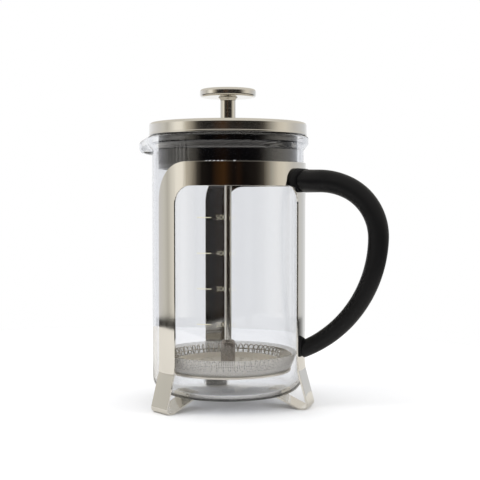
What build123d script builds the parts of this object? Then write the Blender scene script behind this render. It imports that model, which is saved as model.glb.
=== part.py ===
from build123d import *
import os
from math import asin, atan, cos, hypot, pi, radians, sin, tan

# French press (cafetiere) for about 600 ml, made of separate pieces, in millimetres.
# The origin is on the beaker's axis at table level, +Z is up, +X points to the handle
# and the pouring spout points to -X. The press is the same on both sides of the XZ plane.

# ---- driving dimensions -----------------------------------------------------------------

# Glass beaker
beaker_radius = 43.0  # outside of the straight wall
beaker_wall = 2.2
beaker_base_z = 7.2  # underside of the glass above the table
beaker_base_thickness = 2.8
beaker_height = 144.8  # underside to rim
heel_radius = 9.0  # rounding from the base into the wall
rim_flare = 2.7  # how far the bead stands out beyond the wall
rim_bead_drop = 3.0  # widest point of the bead below the rim
rim_flare_drop = 8.4  # start of the flare below the rim
spout_reach = 11.3  # tip of the spout beyond the wall
spout_drop = 10.4  # underside of the spout below the rim
spout_tip_radius = 8.0
spout_root_radius = 15.0

# One-piece steel frame: a band, three strip legs and folded feet
frame_gap = 0.3  # between the glass and the frame
frame_sheet = 1.0
leg_width = 13.9
leg_spacing = 120.0  # degrees between neighbouring legs
band_drop = 15.0  # top edge of the band below the rim
band_height = 13.0
window_corner_radius = 10.5
shoulder_radius = 22.0
foot_bend_z = 21.3  # where a leg starts to splay out
foot_bend_radius = 4.0
foot_splay = 5.0  # how far the foot stands out beyond the leg
fold_radius = 2.7  # outside of the fold on the table
land_width = 2.0  # flat on the underside of each fold
tab_angle = 24.5  # rise of the strip that runs back under the beaker, degrees
tab_bend_radius = 2.0
tab_length = 4.5  # flat end under the beaker
tab_gap = 0.2  # between the tab and the glass

# Handle
grip_top_radius = 6.4
grip_end_radius = 4.65
grip_top_rise = 2.8  # centre line above the band's lower edge, where it leaves the band
grip_straight = 9.4  # before the first bend
grip_bends = ((37.3, 25.6), (30.2, 65.9), (69.5, 67.9))  # (radius, turn in degrees)
grip_sections = 14
upper_saddle_thickness = 2.6
upper_saddle_half_width = 17.0
upper_saddle_top_drop = 3.4  # below the band's top edge
upper_saddle_corner = 7.0
upper_saddle_tail = 3.4  # how far it follows the leg below the band
lower_saddle_thickness = 1.4
lower_saddle_inset = 1.65  # on each side of the leg
lower_saddle_rise = 8.9  # above the grip's centre line at the leg
lower_saddle_fall = 4.5  # below it
gusset_depth = 4.6  # of the wedge over the grip's lower end
gusset_height = 5.0

# Fasteners in the handle
screw_diameter = 3.0
screw_length = 10.0
screw_head_diameter = 5.5
screw_socket_radius = 1.1
screw_socket_depth = 0.8
screw_clearance = 0.1  # radial, in the frame and the saddles
insert_diameter = 4.6
insert_length = 6.0
insert_depth = 0.6  # from the grip's end face to the insert
thread_gap = 0.03  # radial, wherever a thread is engaged
bore_run_out = 0.5  # bore beyond a screw's or a rod's end

# Lid
cap_inset = 0.85  # inside the rim's bead
cap_sheet = 0.8
cap_height = 7.1
cap_edge_radius = 1.5
cap_lift = 0.5  # lower hem above the glass rim
strainer_gap = 1.3  # radial, to the glass
strainer_wall = 1.8
strainer_flange_inset = 0.65  # radial, inside the cap
strainer_flange_thickness = 1.8
strainer_flange_gap = 0.3  # above the glass rim
strainer_plain_drop = 14.5  # plain half below the rim
strainer_skirt_drop = 18.4  # slotted half below the rim
strainer_step_radius = 1.9  # of the S-shaped step between the halves
slot_pitch_angle = 3.8
slot_count = 41
slot_width = 1.3
slot_top_drop = 2.6  # below the rim
slot_bottom_margin = 2.6  # above the skirt's edge
strainer_boss_radius = 8.2

# Guide bush in the middle of the lid
bush_radius = 5.2
bush_flange_radius = 7.0
bush_flange_thickness = 0.8
bush_length = 10.6  # below the flange
running_gap = 0.05  # radial, rod in bush and bush in lid
bush_end_gap = 0.2  # axial, bush in lid
ring_width = 2.2
ring_thickness = 0.9
ring_groove_depth = 0.7
ring_margin = 0.8  # bush below the ring
ring_slit = 3.0

# Plunger
rod_radius = 2.0
knob_radius = 15.9
knob_thickness = 4.5
knob_edge_radius = 1.4
knob_rise = 19.2  # top of the knob above the lid, with the plunger down
knob_thread_depth = 3.0
neck_radius = 4.35
neck_collar_radius = 5.6
neck_collar_height = 1.2
neck_collar_hollow = 1.44  # radius of the hollow under the collar
neck_gap = 0.3  # between the neck and the bush with the plunger down
hub_radius = 4.1
hub_rise = 15.9  # its top above the cross plate

# Filter, with its heights given with the plunger down
cross_rise = 10.5  # top of the cross plate above the beaker's floor
cross_inset = 0.6  # inside the screen's heel
cross_thickness = 1.0
cross_rim_width = 3.2
cross_spoke_width = 8.0
cross_hub_radius = 8.5
screen_gap = 1.4  # radial, from the screen's lip to the glass
screen_lip_rise = 9.4  # above the cross plate
screen_lip_flare = 2.8  # lip beyond the heel
screen_heel_rise = 1.7
screen_heel_inset = 2.0  # flat floor inside the heel
screen_thickness = 0.4
stack_gap = 0.05  # between the stacked filter pieces
plate_thickness = 0.7
plate_rim_height = 3.6
plate_hole_radius = 1.6
plate_hole_pitch = 6.5  # between circles of holes, and about so along them
plate_hole_margin = 6.3  # rim to the outermost circle
coil_radius = 3.2  # outside of the garter spring's turns
coil_rise = 5.6  # middle of the turns above the cross plate
coil_gap = 0.1
coil_shell = 0.5  # thickness that stands for the wire
coil_slit = 2.0  # gap along the underside of that shell
nut_flats = 7.0
nut_height = 3.2
nut_end_cover = 0.8  # from the rod's end to the nut's lower face

# Everywhere
seam = 0.05  # joint line between neighbouring pieces

# ---- sizes that follow from them --------------------------------------------------------

rim_z = beaker_base_z + beaker_height
bead_radius = beaker_radius + rim_flare
bead_z = rim_z - rim_bead_drop
flare_z = rim_z - rim_flare_drop
beaker_inner_radius = beaker_radius - beaker_wall
beaker_floor_z = beaker_base_z + beaker_base_thickness

frame_inner_radius = beaker_radius + frame_gap
frame_outer_radius = frame_inner_radius + frame_sheet
band_top_z = rim_z - band_drop
band_bottom_z = band_top_z - band_height
grip_top_z = band_bottom_z + grip_top_rise
half_leg = leg_width / 2
cut_length = 2 * rim_z  # reaches past anything that it cuts

screw_radius = screw_diameter / 2
head_radius = screw_head_diameter / 2
head_height = head_radius - screw_radius
upper_seat = frame_outer_radius + upper_saddle_thickness + seam
lower_seat = frame_outer_radius + lower_saddle_thickness + seam

cap_radius = bead_radius - cap_inset
cap_bottom_z = rim_z + cap_lift
cap_top_z = cap_bottom_z + cap_height
cap_underside_z = cap_top_z - cap_sheet
strainer_radius = beaker_inner_radius - strainer_gap
strainer_flange_radius = cap_radius - cap_sheet - strainer_flange_inset
strainer_flange_z = rim_z + strainer_flange_gap
strainer_plain_z = rim_z - strainer_plain_drop
strainer_skirt_z = rim_z - strainer_skirt_drop
strainer_inner_radius = strainer_radius - strainer_wall
bush_bore_radius = rod_radius + running_gap
bush_hole_radius = bush_radius + running_gap
bush_flange_z = cap_top_z + bush_end_gap
bush_bottom_z = bush_flange_z - bush_length
ring_z = bush_bottom_z + ring_margin
boss_bottom_z = ring_z + ring_thickness + bush_end_gap

knob_top_z = cap_top_z + knob_rise
knob_bottom_z = knob_top_z - knob_thickness
neck_bottom_z = bush_flange_z + bush_flange_thickness + neck_gap
rod_top_z = knob_bottom_z + knob_thread_depth
threaded_radius = rod_radius + thread_gap
dome_radius = hub_radius - threaded_radius

cross_top_z = beaker_floor_z + cross_rise
cross_bottom_z = cross_top_z - cross_thickness
screen_floor_z = cross_top_z + stack_gap
plate_bottom_z = screen_floor_z + screen_thickness + stack_gap
plate_top_z = plate_bottom_z + plate_thickness
hub_bottom_z = plate_top_z + stack_gap
nut_top_z = cross_bottom_z - stack_gap
nut_bottom_z = nut_top_z - nut_height
rod_bottom_z = nut_bottom_z + nut_end_cover
hub_top_z = cross_top_z + hub_rise

screen_lip_radius = beaker_inner_radius - screen_gap
screen_lip_z = cross_top_z + screen_lip_rise
screen_heel_radius = screen_lip_radius - screen_lip_flare
screen_heel_z = cross_top_z + screen_heel_rise
screen_floor_radius = screen_heel_radius - screen_heel_inset
cross_radius = screen_heel_radius - cross_inset
coil_centre_z = cross_top_z + coil_rise

# The garter spring lies inside the screen's flared wall, and the plate inside the spring.
screen_rise = (coil_centre_z - screen_heel_z) / (screen_lip_z - screen_heel_z)
screen_radius_at_coil = screen_heel_radius + screen_rise * screen_lip_flare
screen_slant = hypot(1, screen_lip_flare / (screen_lip_z - screen_heel_z))
coil_outer_radius = screen_radius_at_coil - (screen_thickness + coil_gap) * screen_slant
coil_centre_radius = coil_outer_radius - coil_radius * screen_slant
plate_radius = coil_centre_radius - coil_radius - coil_gap
plate_hole_room = plate_radius - plate_hole_margin - hub_radius - 2 * plate_hole_radius
plate_hole_circles = int(plate_hole_room // plate_hole_pitch) + 1

os.makedirs("parts", exist_ok=True)


def leg_tangent_plane(angle):
    """Plane through the axis that faces out along a leg: X is sideways, Y is up."""
    turn = radians(angle)
    return Plane(origin=(0, 0, 0), x_dir=(-sin(turn), cos(turn), 0), z_dir=(cos(turn), sin(turn), 0))


def leg_side_plane(angle):
    """Plane through the axis and a leg: X is outwards, Y is up."""
    turn = radians(angle)
    return Plane(origin=(0, 0, 0), x_dir=(cos(turn), sin(turn), 0), z_dir=(sin(turn), -cos(turn), 0))


# ---- beaker -----------------------------------------------------------------------------


def beaker_section(radius, base_z, corner, bead):
    """Half section from the axis over the heel, the wall and the flare to the rim."""
    with BuildSketch() as section:
        with BuildLine():
            base = Line((0, base_z), (radius - corner, base_z))
            heel = JernArc(base @ 1, (1, 0), corner, 90)
            wall = Line(heel @ 1, (radius, flare_z))
            flare = Spline(wall @ 1, (bead, bead_z), tangents=((0, 1), (0, 1)))
            Polyline(flare @ 1, (bead, rim_z), (0, rim_z), (0, base_z))
        make_face()
    return section.sketch


# The pulled spout leaves the wall within a few millimetres, then rises straight:
# (share of its drop, share of its reach)
spout_steps = ((1.0, -0.2), (0.8, 0.62), (0.5, 0.96), (0.0, 1.0))


def spout_sections(drop, wall):
    """Level sections of the spout: a rounded nose that widens into the beaker."""
    sections = []
    for drop_share, reach_share in spout_steps:
        tip_x = spout_tip_radius - beaker_radius - reach_share * spout_reach
        with BuildSketch(Plane.XY.offset(rim_z - drop_share * drop)) as section:
            with Locations((tip_x, 0)):
                Circle(spout_tip_radius - wall)
            with Locations((tip_x + spout_tip_radius, 0)):
                Circle(spout_root_radius - wall)
            make_hull()
        sections.append(section.sketch)
    return sections


with BuildPart() as beaker:
    with BuildSketch(Plane.XZ):
        add(beaker_section(beaker_radius, beaker_base_z, heel_radius, bead_radius))
    revolve(axis=Axis.Z)
    loft(spout_sections(spout_drop, 0))

    inner_heel = heel_radius - beaker_wall
    with BuildSketch(Plane.XZ):
        add(
            beaker_section(
                beaker_inner_radius, beaker_floor_z, inner_heel, bead_radius - beaker_wall
            )
        )
    revolve(axis=Axis.Z, mode=Mode.SUBTRACT)
    loft(spout_sections(spout_drop - beaker_wall, beaker_wall), mode=Mode.SUBTRACT)
beaker.part.label = "beaker"
export_step(beaker.part, "parts/beaker.step")

# ---- line of the grip, which also places its screws and saddles --------------------------

with BuildLine(Plane.XZ) as grip_line:
    run = Line((frame_outer_radius, grip_top_z), (frame_outer_radius + grip_straight, grip_top_z))
    for bend_radius, bend_turn in grip_bends:
        run = JernArc(run @ 1, run % 1, bend_radius, -bend_turn)
grip_path = grip_line.wires()[0]
grip_end_slope = tan(radians(180 - sum(bend_turn for _, bend_turn in grip_bends)))
grip_low_z = (grip_path @ 1).Z + (frame_outer_radius - (grip_path @ 1).X) * grip_end_slope
# The lower screw crosses the sloping centre line in the middle of its insert.
insert_middle = lower_seat + insert_depth + insert_length / 2 - frame_outer_radius
low_screw_z = grip_low_z + insert_middle * grip_end_slope
screw_heights = (grip_top_z, low_screw_z)
lower_saddle_top_z = grip_low_z + lower_saddle_rise
lower_saddle_bottom_z = grip_low_z - lower_saddle_fall

# ---- frame ------------------------------------------------------------------------------

leg_mid_radius = frame_inner_radius + frame_sheet / 2
fold_mid_radius = fold_radius - frame_sheet / 2
fold_centre_x = frame_outer_radius + foot_splay - fold_radius
fold_run = fold_centre_x - leg_mid_radius
fold_fall = foot_bend_z - fold_radius
splay_angle = atan(fold_run / fold_fall) + asin(fold_mid_radius / hypot(fold_run, fold_fall))
land_z = frame_sheet / 2
land_outer_x = leg_mid_radius + (foot_bend_z - land_z) * tan(splay_angle)
land_inner_x = fold_centre_x - land_width - fold_mid_radius * tan(radians(tab_angle / 2))
tab_z = beaker_base_z - tab_gap - frame_sheet / 2
tab_start_x = land_inner_x - (tab_z - land_z) / tan(radians(tab_angle))
strip_overlap = 1.5  # the flat foot runs up into the rolled leg

window_side = frame_outer_radius * sin(radians(leg_spacing / 2)) + frame_sheet
shoulder_side = shoulder_radius - half_leg + 1  # the band's free end is cut past the shoulder

with BuildPart() as frame:
    with BuildSketch(Plane.XY.offset(foot_bend_z + strip_overlap)):
        Circle(frame_outer_radius)
        Circle(frame_inner_radius, mode=Mode.SUBTRACT)
    extrude(amount=band_top_z - foot_bend_z - strip_overlap)

    # Beside each leg the sheet is cut away: a window under the band between two legs,
    # or, towards the spout, the whole height with a rounded shoulder.
    for leg in (-1, 0, 1):
        for side in (-1, 1):
            with BuildSketch(leg_tangent_plane(leg * leg_spacing)):
                if leg == side:
                    Polygon(
                        (side * half_leg, 0),
                        (side * half_leg, band_top_z),
                        (-side * shoulder_side, band_top_z),
                        (-side * shoulder_side, band_top_z + 1),
                        (side * window_side, band_top_z + 1),
                        (side * window_side, 0),
                        align=None,
                    )
                    corner = vertices().sort_by_distance((side * half_leg, band_top_z, 0))[0]
                    fillet(corner, shoulder_radius)
                else:
                    Polygon(
                        (side * half_leg, 0),
                        (side * half_leg, band_bottom_z),
                        (side * window_side, band_bottom_z),
                        (side * window_side, 0),
                        align=None,
                    )
                    corner = vertices().sort_by_distance((side * half_leg, band_bottom_z, 0))[0]
                    fillet(corner, window_corner_radius)
            extrude(amount=cut_length, mode=Mode.SUBTRACT)

    # Folded feet
    for leg in (-1, 0, 1):
        with BuildSketch(leg_side_plane(leg * leg_spacing)):
            with BuildLine():
                FilletPolyline(
                    (leg_mid_radius, foot_bend_z + 2 * strip_overlap),
                    (leg_mid_radius, foot_bend_z),
                    (land_outer_x, land_z),
                    (land_inner_x, land_z),
                    (tab_start_x, tab_z),
                    (tab_start_x - tab_length, tab_z),
                    radius=(foot_bend_radius, fold_mid_radius, fold_mid_radius, tab_bend_radius),
                )
            trace(line_width=frame_sheet)
        extrude(amount=half_leg, both=True)

    # Countersunk holes for the handle's screws, driven from inside
    for height in screw_heights:
        with Locations(Plane(origin=(frame_inner_radius, 0, height), z_dir=(-1, 0, 0))):
            CounterSinkHole(
                radius=screw_radius + screw_clearance,
                counter_sink_radius=head_radius + screw_clearance,
                depth=2 * frame_sheet,
                counter_sink_angle=90,
            )
frame.part.label = "frame"
export_step(frame.part, "parts/frame.step")

# ---- handle -----------------------------------------------------------------------------

def grip_rings(growth):
    """Round sections of the grip, tapering from the band to the leg."""
    rings = []
    for section in range(grip_sections):
        along = section / (grip_sections - 1)
        radius = grip_top_radius + along * (grip_end_radius - grip_top_radius)
        with BuildSketch(
            Plane(origin=grip_path @ along, x_dir=(0, 1, 0), z_dir=grip_path % along)
        ) as ring:
            Circle(radius + growth)
        rings.append(ring.sketch)
    return rings


with BuildPart() as handle_grip:
    loft(grip_rings(0))
    # End faces rolled to the saddles
    for seat, height in ((upper_seat, grip_top_z), (lower_seat, grip_low_z)):
        with Locations((0, 0, height)):
            Cylinder(seat, cut_length, mode=Mode.SUBTRACT)
    # Blind bores for the thread inserts and the screws' tips
    for seat, height in zip((upper_seat, lower_seat), screw_heights):
        with Locations(Plane(origin=(seat, 0, height), z_dir=(-1, 0, 0))):
            Hole(insert_diameter / 2 + thread_gap, depth=insert_depth + insert_length)
            Hole(
                screw_radius + screw_clearance,
                depth=frame_inner_radius + screw_length + bore_run_out - seat,
            )
handle_grip.part.label = "handle_grip"
export_step(handle_grip.part, "parts/handle_grip.step")

with BuildPart() as handle_upper_saddle:
    with BuildSketch(leg_tangent_plane(0)):
        saddle_top_z = band_top_z - upper_saddle_top_drop
        with Locations((0, band_bottom_z)):
            Rectangle(
                2 * upper_saddle_half_width,
                saddle_top_z - band_bottom_z,
                align=(Align.CENTER, Align.MIN),
            )
        top_corners = vertices().group_by(Axis.Y)[-1]
        fillet(top_corners, upper_saddle_corner)
        # Below the band it narrows with the window's rounded corners.
        with BuildSketch(mode=Mode.PRIVATE) as tail:
            Rectangle(
                2 * (half_leg + window_corner_radius),
                window_corner_radius,
                align=(Align.CENTER, Align.MAX),
            )
            with Locations(
                (half_leg + window_corner_radius, -window_corner_radius),
                (-half_leg - window_corner_radius, -window_corner_radius),
            ):
                Circle(window_corner_radius, mode=Mode.SUBTRACT)
            Rectangle(
                2 * upper_saddle_half_width,
                2 * upper_saddle_tail,
                mode=Mode.INTERSECT,
            )
        with Locations((0, band_bottom_z)):
            add(tail.sketch)
    extrude(amount=frame_outer_radius + upper_saddle_thickness)
    Cylinder(frame_outer_radius + seam, cut_length, mode=Mode.SUBTRACT)
    Cylinder(frame_outer_radius + upper_saddle_thickness, cut_length, mode=Mode.INTERSECT)
    with Locations(Plane(origin=(frame_inner_radius, 0, grip_top_z), z_dir=(-1, 0, 0))):
        CounterSinkHole(
            radius=screw_radius + screw_clearance,
            counter_sink_radius=head_radius + screw_clearance,
            depth=frame_sheet + 2 * upper_saddle_thickness,
            counter_sink_angle=90,
        )
handle_upper_saddle.part.label = "handle_upper_saddle"
export_step(handle_upper_saddle.part, "parts/handle_upper_saddle.step")

# Room for the grip in the wedge above its lower end
with BuildPart() as grip_room:
    loft(grip_rings(seam))
    Cylinder(lower_seat - seam, cut_length, mode=Mode.SUBTRACT)

with BuildPart() as handle_lower_saddle:
    with BuildSketch(Plane.XZ):
        pad_x = frame_outer_radius + lower_saddle_thickness
        gusset_z = lower_saddle_top_z - gusset_height
        Polygon(
            (0, lower_saddle_bottom_z),
            (pad_x, lower_saddle_bottom_z + lower_saddle_thickness),
            (pad_x, gusset_z),
            (frame_outer_radius + gusset_depth, gusset_z),
            (frame_outer_radius, lower_saddle_top_z),
            (0, lower_saddle_top_z),
            align=None,
        )
    extrude(amount=half_leg - lower_saddle_inset, both=True)
    Cylinder(frame_outer_radius + seam, cut_length, mode=Mode.SUBTRACT)
    with BuildSketch(Plane.XY.offset(gusset_z)):
        Circle(cut_length)
        Circle(lower_seat - seam, mode=Mode.SUBTRACT)
    extrude(amount=-cut_length, mode=Mode.SUBTRACT)
    # The wedge lies on the grip's back.
    add(grip_room.part, mode=Mode.SUBTRACT)
    with Locations(Plane(origin=(frame_inner_radius, 0, low_screw_z), z_dir=(-1, 0, 0))):
        CounterSinkHole(
            radius=screw_radius + screw_clearance,
            counter_sink_radius=head_radius + screw_clearance,
            depth=frame_sheet + 2 * lower_saddle_thickness,
            counter_sink_angle=90,
        )
handle_lower_saddle.part.label = "handle_lower_saddle"
export_step(handle_lower_saddle.part, "parts/handle_lower_saddle.step")

# ---- fasteners in the handle ------------------------------------------------------------

with BuildPart() as handle_screws:
    for height in screw_heights:
        with Locations(Plane(origin=(frame_inner_radius, 0, height), z_dir=(1, 0, 0))):
            Cone(
                head_radius,
                screw_radius,
                head_height,
                align=(Align.CENTER, Align.CENTER, Align.MIN),
            )
            Cylinder(screw_radius, screw_length, align=(Align.CENTER, Align.CENTER, Align.MIN))
            with BuildSketch(Plane(origin=(frame_inner_radius, 0, height), z_dir=(1, 0, 0))):
                RegularPolygon(screw_socket_radius, 6)
            extrude(amount=screw_socket_depth, mode=Mode.SUBTRACT)
handle_screws.part.label = "handle_screws"
export_step(handle_screws.part, "parts/handle_screws.step")

with BuildPart() as handle_thread_inserts:
    for seat, height in zip((upper_seat, lower_seat), screw_heights):
        with BuildSketch(Plane(origin=(seat + insert_depth, 0, height), z_dir=(1, 0, 0))):
            Circle(insert_diameter / 2)
            Circle(screw_radius + thread_gap, mode=Mode.SUBTRACT)
        extrude(amount=insert_length)
handle_thread_inserts.part.label = "handle_thread_inserts"
export_step(handle_thread_inserts.part, "parts/handle_thread_inserts.step")

# ---- lid --------------------------------------------------------------------------------

lower_left = (Align.MIN, Align.MIN)


def shell_section(radius, height, corner):
    """Half section of a plain turned cap: a rectangle from the axis with one rounded corner."""
    with BuildSketch() as section:
        Rectangle(radius, height, align=lower_left)
        fillet(section.vertices().sort_by_distance((radius, height, 0))[0], corner)
    return section.sketch


with BuildPart() as lid_cap:
    with BuildSketch(Plane.XZ):
        with Locations((0, cap_bottom_z)):
            add(shell_section(cap_radius, cap_height, cap_edge_radius))
            add(
                shell_section(
                    cap_radius - cap_sheet, cap_height - cap_sheet, cap_edge_radius - cap_sheet
                ),
                mode=Mode.SUBTRACT,
            )
            Rectangle(bush_hole_radius, cap_height, align=lower_left, mode=Mode.SUBTRACT)
    revolve(axis=Axis.Z)
lid_cap.part.label = "lid_cap"
export_step(lid_cap.part, "parts/lid_cap.step")

with BuildPart() as lid_strainer:
    with BuildSketch(Plane.XZ):
        # Plate that lies on the rim, boss down to the bush's ring, wall inside the glass
        with Locations((bush_hole_radius, strainer_flange_z)):
            Rectangle(
                strainer_flange_radius - bush_hole_radius, strainer_flange_thickness, align=lower_left
            )
        with Locations((bush_hole_radius, boss_bottom_z)):
            Rectangle(
                strainer_boss_radius - bush_hole_radius,
                cap_underside_z - seam - boss_bottom_z,
                align=lower_left,
            )
        with Locations((strainer_inner_radius, strainer_skirt_z)):
            Rectangle(
                strainer_wall,
                strainer_flange_z + strainer_flange_thickness / 2 - strainer_skirt_z,
                align=lower_left,
            )
    revolve(axis=Axis.Z)

    # The half away from the spout is shorter, with an S-shaped step between the halves.
    with BuildSketch(Plane.XZ):
        step_x = 3 * strainer_step_radius
        Polygon(
            (-step_x, strainer_skirt_z - 1),
            (-step_x, strainer_skirt_z),
            (0, strainer_skirt_z),
            (0, strainer_plain_z),
            (2 * strainer_radius, strainer_plain_z),
            (2 * strainer_radius, strainer_skirt_z - 1),
            align=None,
        )
        fillet(
            vertices().filter_by(lambda corner: abs(corner.X) < seam), strainer_step_radius
        )
    extrude(amount=2 * strainer_radius, both=True, mode=Mode.SUBTRACT)

    # Pouring slots around the spout side
    slot_bottom_z = strainer_skirt_z + slot_bottom_margin
    slot_spread = (slot_count - 1) * slot_pitch_angle
    with Locations((0, 0, slot_bottom_z)):
        with PolarLocations(
            strainer_radius,
            slot_count,
            start_angle=180 - slot_spread / 2,
            angular_range=slot_spread,
            endpoint=True,
        ):
            Box(
                3 * strainer_wall,
                slot_width,
                rim_z - slot_top_drop - slot_bottom_z,
                align=(Align.CENTER, Align.CENTER, Align.MIN),
                mode=Mode.SUBTRACT,
            )
lid_strainer.part.label = "lid_strainer"
export_step(lid_strainer.part, "parts/lid_strainer.step")

# ---- guide bush -------------------------------------------------------------------------

groove_radius = bush_radius - ring_groove_depth

with BuildPart() as lid_bush:
    with BuildSketch(Plane.XZ):
        with Locations((bush_bore_radius, bush_bottom_z)):
            Rectangle(bush_radius - bush_bore_radius, bush_length, align=lower_left)
        with Locations((bush_bore_radius, bush_flange_z)):
            Rectangle(bush_flange_radius - bush_bore_radius, bush_flange_thickness, align=lower_left)
        with Locations((groove_radius, ring_z)):
            Rectangle(bush_radius, ring_thickness, align=lower_left, mode=Mode.SUBTRACT)
    revolve(axis=Axis.Z)
lid_bush.part.label = "lid_bush"
export_step(lid_bush.part, "parts/lid_bush.step")

with BuildPart() as lid_bush_ring:
    with BuildSketch(Plane.XY.offset(ring_z + seam)):
        Circle(groove_radius + ring_width)
        Circle(groove_radius + seam, mode=Mode.SUBTRACT)
        with Locations((groove_radius + ring_width / 2, 0)):
            Rectangle(2 * ring_width, ring_slit, mode=Mode.SUBTRACT)
    extrude(amount=ring_thickness - 2 * seam)
lid_bush_ring.part.label = "lid_bush_ring"
export_step(lid_bush_ring.part, "parts/lid_bush_ring.step")

# ---- plunger ----------------------------------------------------------------------------

with BuildPart() as plunger_rod:
    with BuildSketch(Plane.XY.offset(rod_bottom_z)):
        Circle(rod_radius)
    extrude(amount=rod_top_z - rod_bottom_z)
plunger_rod.part.label = "plunger_rod"
export_step(plunger_rod.part, "parts/plunger_rod.step")

with BuildPart() as knob:
    with BuildSketch(Plane.XY.offset(knob_bottom_z)):
        Circle(knob_radius)
    extrude(amount=knob_thickness)
    fillet(knob.edges(), knob_edge_radius)
    with BuildSketch(Plane.XY.offset(knob_bottom_z)):
        Circle(threaded_radius)
    extrude(amount=knob_thread_depth + bore_run_out, mode=Mode.SUBTRACT)
knob.part.label = "knob"
export_step(knob.part, "parts/knob.step")

with BuildPart() as knob_neck:
    with BuildSketch(Plane.XZ):
        with BuildLine():
            neck_top_z = knob_bottom_z - seam
            Polyline(
                (neck_radius, neck_top_z - neck_collar_height),
                (neck_radius, neck_bottom_z),
                (threaded_radius, neck_bottom_z),
                (threaded_radius, neck_top_z),
                (neck_collar_radius, neck_top_z),
            )
            RadiusArc(
                (neck_radius, neck_top_z - neck_collar_height),
                (neck_collar_radius, neck_top_z),
                -neck_collar_hollow,
            )
        make_face()
    revolve(axis=Axis.Z)
knob_neck.part.label = "knob_neck"
export_step(knob_neck.part, "parts/knob_neck.step")

with BuildPart() as filter_hub:
    with BuildSketch(Plane.XZ):
        with BuildLine():
            Polyline(
                (hub_radius, hub_top_z - dome_radius),
                (hub_radius, hub_bottom_z),
                (threaded_radius, hub_bottom_z),
                (threaded_radius, hub_top_z),
            )
            JernArc((hub_radius, hub_top_z - dome_radius), (0, 1), dome_radius, 90)
        make_face()
    revolve(axis=Axis.Z)
filter_hub.part.label = "filter_hub"
export_step(filter_hub.part, "parts/filter_hub.step")

# ---- filter -----------------------------------------------------------------------------

with BuildPart() as spiral_plate:
    with BuildSketch(Plane.XY.offset(plate_bottom_z)):
        Circle(plate_radius)
        Circle(threaded_radius, mode=Mode.SUBTRACT)
        for circle in range(plate_hole_circles):
            circle_radius = plate_radius - plate_hole_margin - circle * plate_hole_pitch
            with PolarLocations(circle_radius, round(2 * pi * circle_radius / plate_hole_pitch)):
                Circle(plate_hole_radius, mode=Mode.SUBTRACT)
    extrude(amount=plate_thickness)
    with BuildSketch(Plane.XY.offset(plate_bottom_z)):
        Circle(plate_radius)
        Circle(plate_radius - plate_thickness, mode=Mode.SUBTRACT)
    extrude(amount=plate_rim_height)
spiral_plate.part.label = "spiral_plate"
export_step(spiral_plate.part, "parts/spiral_plate.step")

with BuildPart() as spring_coil:
    with BuildSketch(Plane.XZ):
        with Locations((coil_centre_radius, coil_centre_z)):
            Circle(coil_radius)
            Circle(coil_radius - coil_shell, mode=Mode.SUBTRACT)
            Rectangle(
                coil_slit, 2 * coil_radius, align=(Align.CENTER, Align.MAX), mode=Mode.SUBTRACT
            )
    revolve(axis=Axis.Z)
spring_coil.part.label = "spring_coil"
export_step(spring_coil.part, "parts/spring_coil.step")

with BuildPart() as mesh_screen:
    with BuildSketch(Plane.XZ):
        with BuildLine():
            Polyline(
                (threaded_radius, screen_floor_z + screen_thickness / 2),
                (screen_floor_radius, screen_floor_z + screen_thickness / 2),
                (screen_heel_radius - screen_thickness / 2, screen_heel_z),
                (screen_lip_radius - screen_thickness / 2, screen_lip_z),
            )
        trace(line_width=screen_thickness)
    revolve(axis=Axis.Z)
mesh_screen.part.label = "mesh_screen"
export_step(mesh_screen.part, "parts/mesh_screen.step")

with BuildPart() as cross_plate:
    with BuildSketch(Plane.XY.offset(cross_bottom_z)):
        Circle(cross_radius)
        Circle(cross_radius - cross_rim_width, mode=Mode.SUBTRACT)
        Rectangle(2 * cross_radius - cross_rim_width, cross_spoke_width)
        Rectangle(cross_spoke_width, 2 * cross_radius - cross_rim_width)
        Circle(cross_hub_radius)
        Circle(threaded_radius, mode=Mode.SUBTRACT)
    extrude(amount=cross_thickness)
cross_plate.part.label = "cross_plate"
export_step(cross_plate.part, "parts/cross_plate.step")

with BuildPart() as cross_plate_nut:
    with BuildSketch(Plane.XY.offset(nut_bottom_z)):
        RegularPolygon(nut_flats / 2, 6, major_radius=False)
        Circle(threaded_radius, mode=Mode.SUBTRACT)
    extrude(amount=nut_height)
cross_plate_nut.part.label = "cross_plate_nut"
export_step(cross_plate_nut.part, "parts/cross_plate_nut.step")
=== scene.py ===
"""Looks of a french press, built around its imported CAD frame, in metres.

The origin is on the beaker's axis at table level, +Z is up, +X points to the handle and the
pouring spout points to -X.
"""

import logging
import math
from collections.abc import Callable, Sequence
from dataclasses import dataclass, field
from enum import Enum

import bmesh
import bpy
import numpy as np
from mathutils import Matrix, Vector


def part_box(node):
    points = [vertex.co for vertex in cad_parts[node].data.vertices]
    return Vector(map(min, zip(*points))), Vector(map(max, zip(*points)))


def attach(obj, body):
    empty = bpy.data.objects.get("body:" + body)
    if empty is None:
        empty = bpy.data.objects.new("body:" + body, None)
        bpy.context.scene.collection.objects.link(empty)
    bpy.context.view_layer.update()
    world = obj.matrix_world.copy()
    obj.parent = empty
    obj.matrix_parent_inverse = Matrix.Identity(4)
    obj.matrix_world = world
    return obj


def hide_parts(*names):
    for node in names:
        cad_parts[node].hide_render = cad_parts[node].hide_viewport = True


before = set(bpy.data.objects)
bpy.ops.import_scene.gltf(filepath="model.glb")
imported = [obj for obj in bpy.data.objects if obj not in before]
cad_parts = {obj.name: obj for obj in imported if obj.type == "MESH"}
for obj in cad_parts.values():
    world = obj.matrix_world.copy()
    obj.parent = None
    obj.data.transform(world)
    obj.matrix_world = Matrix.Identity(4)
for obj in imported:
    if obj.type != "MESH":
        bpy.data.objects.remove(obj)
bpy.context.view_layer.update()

MM = 0.001
LOG = logging.getLogger("french_press")

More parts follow.
